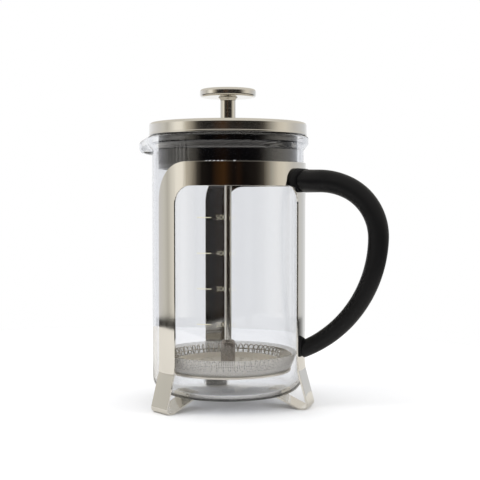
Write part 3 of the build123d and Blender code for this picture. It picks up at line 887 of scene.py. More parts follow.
@dataclass
class BentFrame:
    """The one-piece steel frame: a band, three strip legs and folded feet."""

    sheet: float = 1.0 * MM
    glass_radius: float = 43.0 * MM
    glass_gap: float = 0.3 * MM
    leg_width: float = 13.9 * MM
    leg_spacing: float = 120.0
    band_height: float = 13.0 * MM
    window_corner: float = 10.5 * MM
    shoulder: float = 22.0 * MM
    bend_height: float = 21.3 * MM
    bend_radius: float = 4.0 * MM
    splay: float = 5.0 * MM
    fold_radius: float = 2.7 * MM
    land_width: float = 2.0 * MM
    tab_rise: float = 24.5
    tab_bend: float = 2.0 * MM
    tab_length: float = 4.5 * MM
    tab_gap: float = 0.2 * MM
    tip_rounding: float = 0.12
    flattening: float = 9.0 * MM
    flattening_start: float = 0.3
    path_samples: int = 3000
    round_cuts: int = 110
    bend_cuts: int = 7
    bend_cut_pitch: float = 1.0 * MM
    edge: float = 0.14 * MM

    def __post_init__(self) -> None:
        """Reads the band's top from the frame and lays out a foot's path."""
        self.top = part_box("frame")[1].z
        self.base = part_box("beaker")[0].z
        self.radius = self.glass_radius + self.glass_gap + self.sheet / 2
        path = np.array(rounded(self.foot_corners(), closed=False))
        lengths = np.concatenate([[0.0], np.cumsum(np.hypot(*np.diff(path, axis=0).T))])
        self.levels = [self.top - length for length in lengths]
        fine = np.linspace(0, lengths[-1], self.path_samples)
        self.path_length = lengths[-1]
        self.path_steps = fine
        self.path = np.column_stack([np.interp(fine, lengths, path[:, k]) for k in (0, 1)])
        slope = np.gradient(self.path, axis=0)
        slope /= np.linalg.norm(slope, axis=1, keepdims=True)
        self.path_out = np.column_stack([-slope[:, 1], slope[:, 0]])

    def foot_corners(self) -> list[Corner]:
        """Gives the middle line of a leg, from the band's top to the tab under the glass.

        Returns:
            Corners as (distance from the axis, height, bend radius).
        """
        fold = self.fold_radius - self.sheet / 2
        outside = self.radius + self.sheet / 2
        run = outside + self.splay - self.fold_radius - self.radius
        fall = self.bend_height - self.fold_radius
        lean = math.atan(run / fall) + math.asin(fold / math.hypot(run, fall))
        land = self.sheet / 2
        rise = math.radians(self.tab_rise)
        land_outer = self.radius + (self.bend_height - land) * math.tan(lean)
        land_inner = self.radius + run - self.land_width - fold * math.tan(rise / 2)
        tab = self.base - self.tab_gap - self.sheet / 2
        tab_start = land_inner - (tab - land) / math.tan(rise)
        return [
            (self.radius, self.top, 0),
            (self.radius, self.bend_height, self.bend_radius),
            (land_outer, land, fold),
            (land_inner, land, fold),
            (tab_start, tab, self.tab_bend),
            (tab_start - self.tab_length, tab, 0),
        ]

    def outline(self) -> list[tuple[float, float]]:
        """Lays the frame out flat, before it is rolled and folded.

        Returns:
            Its outline as (distance round the band, height along the strip).
        """
        half = self.leg_width / 2
        tip = self.top - self.path_length
        band = self.top - self.band_height
        spacing = self.radius * math.radians(self.leg_spacing)
        corners: list[Corner] = []
        for leg in (-1, 0, 1):
            left, right = leg * spacing - half, leg * spacing + half
            if leg > -1:
                corners.append((left, band, self.window_corner))
            corners += [(left, tip, half * self.tip_rounding), (right, tip, half * self.tip_rounding)]
            if leg < 1:
                corners.append((right, band, self.window_corner))
        corners += [(spacing + half, self.top, self.shoulder), (-spacing - half, self.top, self.shoulder)]
        return rounded(corners, arc_step=6)

    def place(self, along: float, up: float, depth: float) -> tuple[float, float, float]:
        """Rolls and folds one point of the flat sheet.

        Args:
            along: its distance round the band.
            up: its height along the strip.
            depth: 0 on the inner face, 1 on the outer one.

        Returns:
            Its place.
        """
        spacing = self.radius * math.radians(self.leg_spacing)
        leg = min(max(round(along / spacing), -1), 1)
        aside = along - leg * spacing
        travel = self.top - up
        out = np.array([np.interp(travel, self.path_steps, self.path_out[:, k]) for k in (0, 1)])
        out *= (depth - 0.5) * self.sheet
        reach, height = (np.interp(travel, self.path_steps, self.path[:, k]) + out[k] for k in (0, 1))
        above = (up - self.bend_height) / self.flattening + self.flattening_start
        share = min(max(above, 0.0), 1.0)
        rolled = share * share * (3 - 2 * share)
        turn = aside / self.radius
        forward = reach - rolled * reach * (1 - math.cos(turn))
        sideways = (1 - rolled) * aside + rolled * reach * math.sin(turn)
        angle = math.radians(leg * self.leg_spacing)
        return (
            forward * math.cos(angle) - sideways * math.sin(angle),
            forward * math.sin(angle) + sideways * math.cos(angle),
            height,
        )

    def build(self) -> None:
        """Cuts, rolls and folds the sheet, and puts it on the frame's body."""
        reach = self.radius * math.radians(self.leg_spacing) + self.leg_width / 2
        cuts = np.linspace(-reach, reach, self.round_cuts)[1:-1]
        levels = self.levels[1:-1]
        levels += [self.bend_height + (k + 1) * self.bend_cut_pitch for k in range(self.bend_cuts)]
        plate = FlatPlate.from_outline(self.outline(), list(cuts), levels)
        sheet = plate.bend("bent_frame", self.place, FRAME_STEEL, self.edge)
        place_piece(sheet, "frame", "brushed_steel_frame", "frame")


# ---- handle -----------------------------------------------------------------------------


@dataclass
class Handle:
    """The round tapering grip, its saddles, and the screws and inserts that hold it."""

    start_radius: float = 6.4 * MM
    end_radius: float = 4.65 * MM
    straight: float = 9.4 * MM
    bends: tuple[tuple[float, float], ...] = ((37.3, 25.6), (30.2, 65.9), (69.5, 67.9))
    end_run: float = 2.0 * MM
    frame_outside: float = 44.3 * MM
    upper_seat: float = 45.65 * MM
    lower_seat: float = 45.75 * MM
    upper_spread: float = 12.5 * MM
    lower_spread: float = 7.6 * MM
    spread_length: float = 13.0 * MM
    end_ease: float = 0.5 * MM
    rings: int = 120
    columns: int = 48
    line_step: float = 1.5
    slope_step: float = 0.8 * MM
    halvings: int = 40
    tail_points: int = 8
    saddle_cuts: int = 18
    pad_cuts: int = 9
    saddle_inside: float = 44.35 * MM
    saddle_outside: float = 45.6 * MM
    saddle_half_width: float = 20.0 * MM
    saddle_corner: float = 7.0 * MM
    saddle_tail: float = 3.4 * MM
    saddle_edge: float = 0.7 * MM
    leg_half_width: float = 6.95 * MM
    pad_inside: float = 44.35 * MM
    pad_wrap: float = 0.4 * MM
    pad_slope: float = 5.0 * MM
    pad_corner: float = 1.5 * MM
    pad_edge: float = 0.3 * MM
    window_corner: float = 10.5 * MM
    start_height: float = field(init=False)

    def __post_init__(self) -> None:
        """Reads the grip's height from the frame and lays out its centre line."""
        self.start_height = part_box("handle_grip")[1].z - self.start_radius
        points = [np.array([self.frame_outside, self.start_height])]
        heading = 0.0
        points.append(points[0] + (self.straight, 0.0))
        for radius, turn in self.bends:
            steps = math.ceil(turn / self.line_step)
            for _ in range(steps):
                step = math.radians(turn / steps)
                heading -= step / 2
                chord = 2 * radius * MM * math.sin(step / 2)
                points.append(points[-1] + chord * np.array([math.cos(heading), math.sin(heading)]))
                heading -= step / 2
        points.append(points[-1] + self.end_run * np.array([math.cos(heading), math.sin(heading)]))
        self.line = np.array(points)
        self.travel = np.concatenate([[0.0], np.cumsum(np.hypot(*np.diff(self.line, axis=0).T))])

    def line_point(self, travel: float) -> np.ndarray:
        """Gives the point of the centre line at a distance along it, as (across, up)."""
        return np.array([np.interp(travel, self.travel, self.line[:, k]) for k in (0, 1)])

    def surface_point(self, travel: float, angle: float, shrink: float = 0.0) -> np.ndarray:
        """Gives a point on the grip.

        Args:
            travel: distance along the centre line.
            angle: turn about it, in radians.
            shrink: taken off the radius.

        Returns:
            The point's place.
        """
        middle = self.line_point(travel)
        ahead = self.line_point(travel + self.slope_step)
        behind = self.line_point(travel - self.slope_step)
        forward = (ahead - behind) / np.linalg.norm(ahead - behind)
        share = min(travel / self.travel[-1], 1.0)
        radius = self.start_radius + share * (self.end_radius - self.start_radius) - shrink
        aside = radius
        ends = ((travel, self.upper_spread), (self.travel[-1] - travel, self.lower_spread))
        for distance, spread in ends:
            near = max(0.0, 1 - distance / self.spread_length)
            aside += (spread - radius) * near * near * (3 - 2 * near) if near > 0 else 0.0
        up = np.array([-forward[1], forward[0]]) * radius * math.cos(angle)
        return np.array([middle[0] + up[0], aside * math.sin(angle), middle[1] + up[1]])

    def end_travel(self, angle: float, seat: float, low: float, high: float) -> float:
        """Finds where a line along the grip meets the round seat.

        Args:
            angle: which line, as a turn about the centre line.
            seat: the seat's radius about the beaker's axis.
            low: a distance along the centre line inside the seat.
            high: one outside it.

        Returns:
            The distance along the centre line where they meet.
        """
        for _ in range(self.halvings):
            middle = (low + high) / 2
            point = self.surface_point(middle, angle)
            if math.hypot(point[0], point[1]) < seat:
                low = middle
            else:
                high = middle
        return (low + high) / 2

    def grip(self) -> bpy.types.Object:
        """Builds the grip as a tube whose ends are shaped to its seats.

        Returns:
            The grip.
        """
        length = self.travel[-1]
        points: list[np.ndarray] = []
        for column in range(self.columns):
            angle = 2 * math.pi * column / self.columns
            first = self.end_travel(angle, self.upper_seat, 0.0, length / 3)
            last = self.end_travel(angle, self.lower_seat, length, 2 * length / 3)
            for ring in range(self.rings + 1):
                share = 0.5 - 0.5 * math.cos(math.pi * ring / self.rings)
                travel = first + share * (last - first)
                edge = min(travel - first, last - travel, self.end_ease)
                ease = self.end_ease - math.sqrt(self.end_ease**2 - (self.end_ease - edge) ** 2)
                points.append(self.surface_point(travel, angle, ease))
        rows = self.rings + 1
        count = len(points)
        faces = []
        for column in range(self.columns):
            here, after = column * rows, (column + 1) % self.columns * rows
            faces += [[here + k, here + k + 1, after + k + 1, after + k] for k in range(self.rings)]
        for ring, seat in ((0, self.upper_seat), (self.rings, self.lower_seat)):
            rim = [points[column * rows + ring] for column in range(self.columns)]
            middle = np.mean(rim, axis=0)
            middle[0] = seat
            points.append(middle)
            for column in range(self.columns):
                here = column * rows + ring
                after = (column + 1) % self.columns * rows + ring
                faces.append([count, here, after] if ring == 0 else [count, after, here])
            count += 1
        return new_object("handle_grip_coated", points, faces, SOFT_TOUCH, sharp=55.0)

    def saddle(self) -> bpy.types.Object:
        """Builds the arched plate between the grip and the band.

        Returns:
            The upper saddle.
        """
        low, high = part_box("handle_upper_saddle")
        band = low.z + self.saddle_tail
        tail: list[tuple[float, float]] = []
        for k in range(self.tail_points + 1):
            height = -self.saddle_tail * (1 - k / self.tail_points)
            aside = self.leg_half_width + self.window_corner
            aside -= math.sqrt(self.window_corner**2 - (self.window_corner + height) ** 2)
            tail.append((min(aside, self.saddle_half_width), band + height))
        corners = [(x, z, 0) for x, z in tail]
        corners += [(self.saddle_half_width, high.z, self.saddle_corner)]
        corners += [(-self.saddle_half_width, high.z, self.saddle_corner)]
        corners += [(-x, z, 0) for x, z in reversed(tail)]
        cuts = np.linspace(-self.saddle_half_width, self.saddle_half_width, self.saddle_cuts)[1:-1]
        plate = FlatPlate.from_outline(rounded(corners, arc_step=8), list(cuts), [band])

        def place(along: float, up: float, depth: float) -> tuple[float, float, float]:
            """Rolls a point of the plate onto the band."""
            radius = self.saddle_inside + depth * (self.saddle_outside - self.saddle_inside)
            turn = along / self.saddle_outside
            return radius * math.cos(turn), radius * math.sin(turn), up

        return plate.bend("handle_upper_saddle_moulded", place, SOFT_TOUCH, self.saddle_edge)

    def pad(self) -> bpy.types.Object:
        """Builds the pad between the grip's lower end and the leg, with its slanting top.

        Returns:
            The lower saddle.
        """
        low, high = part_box("handle_lower_saddle")
        near, far = -self.leg_half_width - self.pad_wrap, self.leg_half_width
        corners = [
            (near, low.z, self.pad_corner),
            (far, low.z, self.pad_corner),
            (far, high.z - self.pad_slope, self.pad_corner),
            (near, high.z, self.pad_edge),
        ]
        cuts = np.linspace(near, far, self.pad_cuts)[1:-1]
        plate = FlatPlate.from_outline(rounded(corners), list(cuts), [])

        def place(along: float, up: float, depth: float) -> tuple[float, float, float]:
            """Rolls a point of the pad onto the leg."""
            radius = self.pad_inside + depth * (self.lower_seat - self.pad_inside)
            turn = along / radius
            return radius * math.cos(turn), radius * math.sin(turn), up

        return plate.bend("handle_lower_saddle_moulded", place, SOFT_TOUCH, self.pad_edge)

    def build(self) -> None:
        """Builds the grip and its saddles, and dresses the pieces that hold them."""
        place_piece(self.grip(), "frame", "soft_touch_black", "handle_grip")
        place_piece(self.saddle(), "frame", "soft_touch_black", "handle_upper_saddle")
        place_piece(self.pad(), "frame", "soft_touch_black", "handle_lower_saddle")
        dress("handle_screws", FASTENER_STEEL)
        dress("handle_thread_inserts", BRASS)


# ---- lid --------------------------------------------------------------------------------


@dataclass
class Lid:
    """The spun steel cap and the black strainer under it."""

    sheet: float = 0.8 * MM
    cap_edge: float = 1.5 * MM
    hem: float = 0.9 * MM
    hem_step: float = 0.2 * MM
    hole: float = 5.25 * MM
    dish: float = 0.25 * MM
    dish_radius: float = 38.0 * MM
    dish_slope: float = 1.0 * MM
    strainer_wall: float = 1.8 * MM
    strainer_radius: float = 39.5 * MM
    flange_thickness: float = 1.8 * MM
    plain_drop: float = 14.5 * MM
    skirt_drop: float = 18.4 * MM
    step_radius: float = 1.95 * MM
    slot_pitch: float = 3.8
    slot_count: int = 41
    slot_width: float = 1.5 * MM
    slot_top_drop: float = 2.6 * MM
    slot_margin: float = 2.6 * MM
    boss_radius: float = 8.2 * MM
    edge: float = 0.35 * MM
    rim_gap: float = 0.3 * MM
    step_points: int = 8
    plain_span: Span = (275.0, 446.0)
    plain_pitch: float = 2.5
    solid_angles: Span = (79.5, 83.0)
    least_rail: float = 0.6 * MM
    ring_gap: float = 0.25 * MM
    cap_gap: float = 0.1 * MM

    def __post_init__(self) -> None:
        """Reads the lid's and the glass's heights from the frame."""
        self.low, self.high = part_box("lid_cap")
        self.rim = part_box("beaker")[1].z
        self.flange_low = self.rim + self.rim_gap

    def cap(self) -> bpy.types.Object:
        """Builds the cap with its rolled hem and a shallow step in its top.

        Returns:
            The cap.
        """
        radius, bottom, top = self.high.x, self.low.z, self.high.z
        wall = radius - self.hem_step
        inside = wall - self.sheet
        dish_end = self.dish_radius + self.dish_slope
        corners = [
            (self.hole, top - self.dish - self.sheet, 0.1 * MM),
            (self.dish_radius, top - self.dish - self.sheet, 0.3 * MM),
            (dish_end, top - self.sheet, 0.3 * MM),
            (inside, top - self.sheet, self.cap_edge - self.sheet),
            (inside, bottom, 0.2 * MM),
            (radius, bottom, 0.3 * MM),
            (radius, bottom + self.hem, 0.15 * MM),
            (wall, bottom + self.hem + self.hem_step, 0.1 * MM),
            (wall, top, self.cap_edge),
            (dish_end, top, 0.4 * MM),
            (self.dish_radius, top - self.dish, 0.4 * MM),
            (self.hole, top - self.dish, 0.2 * MM),
        ]
        return revolve("lid_cap_spun", rounded(corners), LID_STEEL, steps=192)

    def strainer_bottom(self, angle: float) -> float:
        """Gives the height of the strainer's lower edge, with the S-shaped step between its halves."""
        plain = self.rim - self.plain_drop
        skirt = self.rim - self.skirt_drop
        across = self.strainer_radius * math.cos(angle) / self.step_radius
        if abs(across) >= 1:
            return plain if across > 0 else skirt
        bow = math.sqrt(1 - (1 - abs(across)) ** 2)
        return (plain + skirt) / 2 + math.copysign(bow, across) * (plain - skirt) / 2

    def strainer_grid(self) -> FlatPlate:
        """Lays the strainer's wall out flat, with its pouring slots left open.

        Returns:
            The wall as cells; its last column joins its first.
        """
        slot = math.degrees(self.slot_width / self.strainer_radius)
        first = 180 - (self.slot_count - 1) * self.slot_pitch / 2
        columns: list[tuple[float, bool]] = []
        for k in range(self.slot_count):
            middle = first + k * self.slot_pitch
            columns += [(middle - slot / 2, True), (middle + slot / 2, False)]
        for quarter in (90, 270):
            for k in range(-self.step_points, self.step_points + 1):
                out = math.copysign(self.step_radius * (k / self.step_points) ** 2, k)
                columns.append((quarter + math.degrees(out / self.strainer_radius), False))
        spare = [angle % 360 for angle in np.arange(*self.plain_span, self.plain_pitch)]
        spare += [180 + side * angle for side in (-1, 1) for angle in self.solid_angles]
        columns += [(angle, False) for angle in spare]
        columns.sort()
        top = self.rim - self.slot_top_drop
        bottom = self.rim - self.skirt_drop + self.slot_margin
        rows: list[Callable[[float], float]] = [
            self.strainer_bottom,
            lambda angle: max(bottom, self.strainer_bottom(angle) + self.least_rail),
            lambda angle: top,
            lambda angle: self.flange_low + self.flange_thickness / 2,
        ]
        points = [(math.radians(angle), row(math.radians(angle))) for angle, _ in columns for row in rows]
        count = len(columns)
        faces = []
        for column, (_, starts_slot) in enumerate(columns):
            after = (column + 1) % count
            for row in range(len(rows) - 1):
                if starts_slot and row == 1:
                    continue
                here, there = len(rows) * column + row, len(rows) * after + row
                faces.append([here, there, there + 1, here + 1])
        return FlatPlate(points, faces)

    def strainer(self) -> tuple[bpy.types.Object, bpy.types.Object]:
        """Builds the strainer's slotted wall, and its flange with the boss.

        Returns:
            The wall and the flange.
        """

        def place(angle: float, up: float, depth: float) -> tuple[float, float, float]:
            """Rolls a point of the wall round the axis."""
            radius = self.strainer_radius - (1 - depth) * self.strainer_wall
            return radius * math.cos(angle), radius * math.sin(angle), up

        wall = self.strainer_grid().bend("strainer_wall_slotted", place, MOULDED_BLACK, self.edge)
        boss_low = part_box("lid_bush_ring")[1].z + self.ring_gap
        boss_high = self.high.z - self.dish - self.sheet - self.cap_gap
        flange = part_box("lid_strainer")[1].x
        corners = [
            (self.hole, boss_low, 0.2 * MM),
            (self.boss_radius, boss_low, 0.6 * MM),
            (self.boss_radius, self.flange_low, 0.6 * MM),
            (flange, self.flange_low, 0.5 * MM),
            (flange, self.flange_low + self.flange_thickness, 0.5 * MM),
            (self.boss_radius, self.flange_low + self.flange_thickness, 0.6 * MM),
            (self.boss_radius, boss_high, 0.3 * MM),
            (self.hole, boss_high, 0.2 * MM),
        ]
        return wall, revolve("strainer_flange", rounded(corners), MOULDED_BLACK)

    def build(self) -> None:
        """Builds the cap and the strainer and puts them on the lid's body."""
        place_piece(self.cap(), "lid", "brushed_steel_lid", "lid_cap")
        wall, flange = self.strainer()
        place_piece(wall, "lid", "strainer_black", "lid_strainer")
        place_piece(flange, "lid", "strainer_black")


@dataclass(frozen=True)
class Guide:
    """The bush in the middle of the lid that the rod slides in, and the bush's retaining ring."""

    bush: Finish = TURNED_STEEL
    ring: Finish = FASTENER_STEEL

    def build(self) -> None:
        """Dresses both pieces, which keep their CAD shapes."""
        dress("lid_bush", self.bush)
        dress("lid_bush_ring", self.ring)


# ---- plunger ----------------------------------------------------------------------------


@dataclass
class Plunger:
    """The rod with its disc knob, neck and hub, all turned."""

    rod_edge: float = 0.2 * MM
    knob_edge: float = 1.4 * MM
    knob_dish: float = 0.25 * MM
    knob_rim: float = 2.2 * MM
    dish_slope: float = 1.0 * MM
    dish_rounding: float = 0.6 * MM
    neck_radius: float = 4.35 * MM
    collar_height: float = 1.6 * MM
    collar_radius: float = 5.6 * MM
    dome: float = 2.0 * MM

    def turn(
        self,
        name: str,
        node: str,
        corners: Sequence[Corner],
        steps: int = 72,
        arc_step: float = 12.0,
        finish: Finish = TURNED_STEEL,
    ) -> None:
        """Turns one piece and puts it on the plunger's body.

        Args:
            name: the piece's name.
            node: the CAD node that it stands for.
            corners: its outline, as (radius, height, rounding).
            steps: how many columns go round.
            arc_step: degrees between the points of a rounded edge.
            finish: its finish.
        """
        piece = revolve(name, rounded(corners, arc_step=arc_step), finish, steps)
        place_piece(piece, "plunger", "turned_steel", node)

    def build(self) -> None:
        """Turns each piece to its CAD node's size."""
        low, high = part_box("plunger_rod")
        rod = high.x
        rod_corners = [
            (0, low.z, 0),
            (rod, low.z, self.rod_edge),
            (rod, high.z, self.rod_edge),
            (0, high.z, 0),
        ]
        self.turn("rod_turned", "plunger_rod", rod_corners, steps=64)
        low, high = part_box("knob")
        rim = high.x - self.knob_rim
        knob_corners = [
            (0, low.z, 0),
            (high.x, low.z, self.knob_edge),
            (high.x, high.z, self.knob_edge),
            (rim, high.z, self.dish_rounding),
            (rim - self.dish_slope, high.z - self.knob_dish, self.dish_rounding),
            (0, high.z - self.knob_dish, 0),
        ]
        self.turn("knob_turned", "knob", knob_corners, steps=128, arc_step=8)
        low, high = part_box("knob_neck")
        neck_corners = [
            (rod, low.z, 0),
            (self.neck_radius, low.z, 0.3 * MM),
            (self.neck_radius, high.z - self.collar_height, 1.2 * MM),
            (self.collar_radius, high.z, 0.1 * MM),
            (rod, high.z, 0),
        ]
        self.turn("neck_turned", "knob_neck", neck_corners)
        low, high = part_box("filter_hub")
        hub_corners = [
            (rod, low.z, 0),
            (high.x, low.z, self.rod_edge),
            (high.x, high.z, self.dome),
            (rod, high.z, 0),
        ]
        # The hub takes the darker steel, which has painted shade in its colour
        self.turn("hub_turned", "filter_hub", hub_corners, arc_step=8, finish=HUB_STEEL_PAINTED_SHADE)


# ---- filter -----------------------------------------------------------------------------


@dataclass
class Filter:
    """The perforated plate, its garter spring, the woven screen and the cross plate."""

    turns: int = 64
    turn_points: int = 16
    wire_radius: float = 0.34 * MM
    wire_sides: int = 8
    looseness: float = 0.12 * MM
    stray_scale: float = 9.0
    core_points: int = 160
    screen_thickness: float = 0.16 * MM
    floor_radius: float = 34.6 * MM
    heel_radius: float = 36.6 * MM
    heel_rise: float = 1.65 * MM
    floor_bend: float = 1.2 * MM
    rod_gap: float = 0.1 * MM
    pleat_columns: int = 6
    pleats: int = 64
    pleat_depth: float = 0.3 * MM
    seed: int = 7

    def circle(self, tree: Tree, points: int, radius: float | Socket) -> Socket:
        """Adds a circle of that many points to a Geometry Nodes tree and returns its curve."""
        inputs = {"Resolution": points, "Radius": radius}
        return add_node(tree, "GeometryNodeCurvePrimitiveCircle", inputs).outputs[0]

    def coil(self) -> bpy.types.Object:
        """Winds the garter spring in its ring with Geometry Nodes.

        Returns:
            The spring as one mesh.
        """
        low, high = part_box("spring_coil")
        turn_radius = (high.z - low.z) / 2 - self.wire_radius
        ring_radius = high.x - turn_radius - self.wire_radius
        sizes = {
            "Ring Radius": ring_radius,
            "Turn Radius": turn_radius,
            "Wire Radius": self.wire_radius,
            "Height": (low.z + high.z) / 2,
            "Turns": float(self.turns),
            "Looseness": self.looseness,
            "Seed": float(self.seed),
        }
        tree, given = start_group("garter_spring", sizes)
        total = self.turns * self.turn_points
        ring = self.circle(tree, total, 1.0)
        index = add_node(tree, "GeometryNodeInputIndex").outputs[0]
        round_ring = maths(tree, "MULTIPLY", index, 2 * math.pi / total)
        round_turn = maths(tree, "MULTIPLY", round_ring, given["Turns"])
        cloud = {"W": given["Seed"], "Scale": self.stray_scale, "Detail": 1.0}
        stray = add_node(tree, "ShaderNodeTexNoise", cloud, noise_dimensions="4D").outputs[0]
        slack = maths(tree, "MULTIPLY", maths(tree, "SUBTRACT", stray, 0.5), given["Looseness"])
        radius = maths(tree, "SUBTRACT", given["Turn Radius"], slack)
        reach = maths(tree, "MULTIPLY_ADD", maths(tree, "COSINE", round_turn), radius, given["Ring Radius"])
        height = maths(tree, "MULTIPLY_ADD", maths(tree, "SINE", round_turn), radius, given["Height"])
        across = maths(tree, "MULTIPLY", maths(tree, "COSINE", round_ring), reach)
        deep = maths(tree, "MULTIPLY", maths(tree, "SINE", round_ring), reach)
        spot = add_node(tree, "ShaderNodeCombineXYZ", {"X": across, "Y": deep, "Z": height}).outputs[0]
        wound = add_node(tree, "GeometryNodeSetPosition", {"Geometry": ring, "Position": spot}).outputs[0]
        lift = add_node(tree, "ShaderNodeCombineXYZ", {"Z": given["Height"]}).outputs[0]
        core = {"Geometry": self.circle(tree, self.core_points, given["Ring Radius"]), "Translation": lift}
        raised = add_node(tree, "GeometryNodeTransform", core).outputs[0]
        section = self.circle(tree, self.wire_sides, given["Wire Radius"])
        both = add_node(tree, "GeometryNodeJoinGeometry")
        for curve in (raised, wound):
            wire = add_node(tree, "GeometryNodeCurveToMesh", {"Curve": curve, "Profile Curve": section})
            tree.links.new(wire.outputs[0], both.inputs[0])
        return grow(tree, "garter_spring", sizes, both.outputs[0], SPRING_STEEL)

    def screen(self) -> bpy.types.Object:
        """Builds the woven screen with its turned-up, lightly pleated wall.

        Returns:
            The screen, with its map laid in metres round the wall.
        """
        low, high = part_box("mesh_screen")
        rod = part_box("plunger_rod")[1].x
        floor = low.z + self.screen_thickness / 2
        lip = high.x - self.screen_thickness / 2
        middle = rounded(
            [
                (rod + self.rod_gap, floor, 0),
                (self.floor_radius, floor, self.floor_bend),
                (self.heel_radius - self.screen_thickness / 2, floor + self.heel_rise, self.floor_bend),
                (lip, high.z, 0),
            ],
            closed=False,
        )
        path = np.array(middle)
        slope = np.gradient(path, axis=0)
        slope /= np.linalg.norm(slope, axis=1, keepdims=True)
        out = np.column_stack([slope[:, 1], -slope[:, 0]]) * self.screen_thickness / 2
        outline = [tuple(p) for p in path + out] + [tuple(p) for p in (path - out)[::-1]]

        def pleat(angle: float, radius: float, height: float) -> float:
            """Gives the wall's ripple, which grows from the floor to the lip."""
            share = max(0.0, (height - floor) / (high.z - floor))
            return -self.pleat_depth * share * (0.5 + 0.5 * math.cos(self.pleats * angle))

        columns = self.pleat_columns * self.pleats
        made = revolve("woven_screen", outline, SCREEN_FLOOR, steps=columns, ripple=pleat)
        mesh = made.data
        mesh.materials.append(SCREEN_WALL.material())
        layer = mesh.uv_layers.new(name="wall")
        for polygon in mesh.polygons:
            middle_point = polygon.center
            if math.hypot(middle_point.x, middle_point.y) > self.floor_radius:
                polygon.material_index = 1
            angle = math.atan2(middle_point.y, middle_point.x)
            for loop in polygon.loop_indices:
                spot = mesh.vertices[mesh.loops[loop].vertex_index].co
                turn = math.atan2(spot.y, spot.x)
                turn += 2 * math.pi * round((angle - turn) / (2 * math.pi))
                layer.data[loop].uv = (turn * self.heel_radius, spot.z)
        return made

    def build(self) -> None:
        """Builds the spring and the screen, and dresses the stamped plates and the nut."""
        place_piece(self.coil(), "plunger", "spring_steel", "spring_coil")
        place_piece(self.screen(), "plunger", "woven_steel", "mesh_screen")
        # The stamped plates take the pale steel, which has painted light in its colour
        dress("spiral_plate", PRESSED_STEEL_PAINTED_LIGHT)
        dress("cross_plate", PRESSED_STEEL_PAINTED_LIGHT)
        dress("cross_plate_nut", FASTENER_STEEL)


# ---- studio -----------------------------------------------------------------------------


@dataclass(frozen=True)
class PaleFloor(Finish):
    """Matt white card under the press, with a trace of tooth."""

    colour: tuple[float, float, float, float] = (0.94, 0.94, 0.945, 1.0)
    tooth_size: float = 5.0 * MM
    roughness: Span = (0.8, 1.0)
    shine: float = 0.2

    def shader(self, tree: Tree) -> Socket:
        """Builds the card with a faint unevenness in its dull shine.

        Args:
            tree: the material's node tree.

        Returns:
            The shader's output socket.
        """
        place = add_node(tree, "ShaderNodeTexCoord").outputs["Object"]
        tooth = noise(tree, place, 1 / self.tooth_size, 2.0)
        rough = remap(tree, tooth, (0.0, 1.0), self.roughness)
        card = {"Base Color": self.colour, "Roughness": rough, "Specular IOR Level": self.shine}
        return add_node(tree, "ShaderNodeBsdfPrincipled", card).outputs[0]


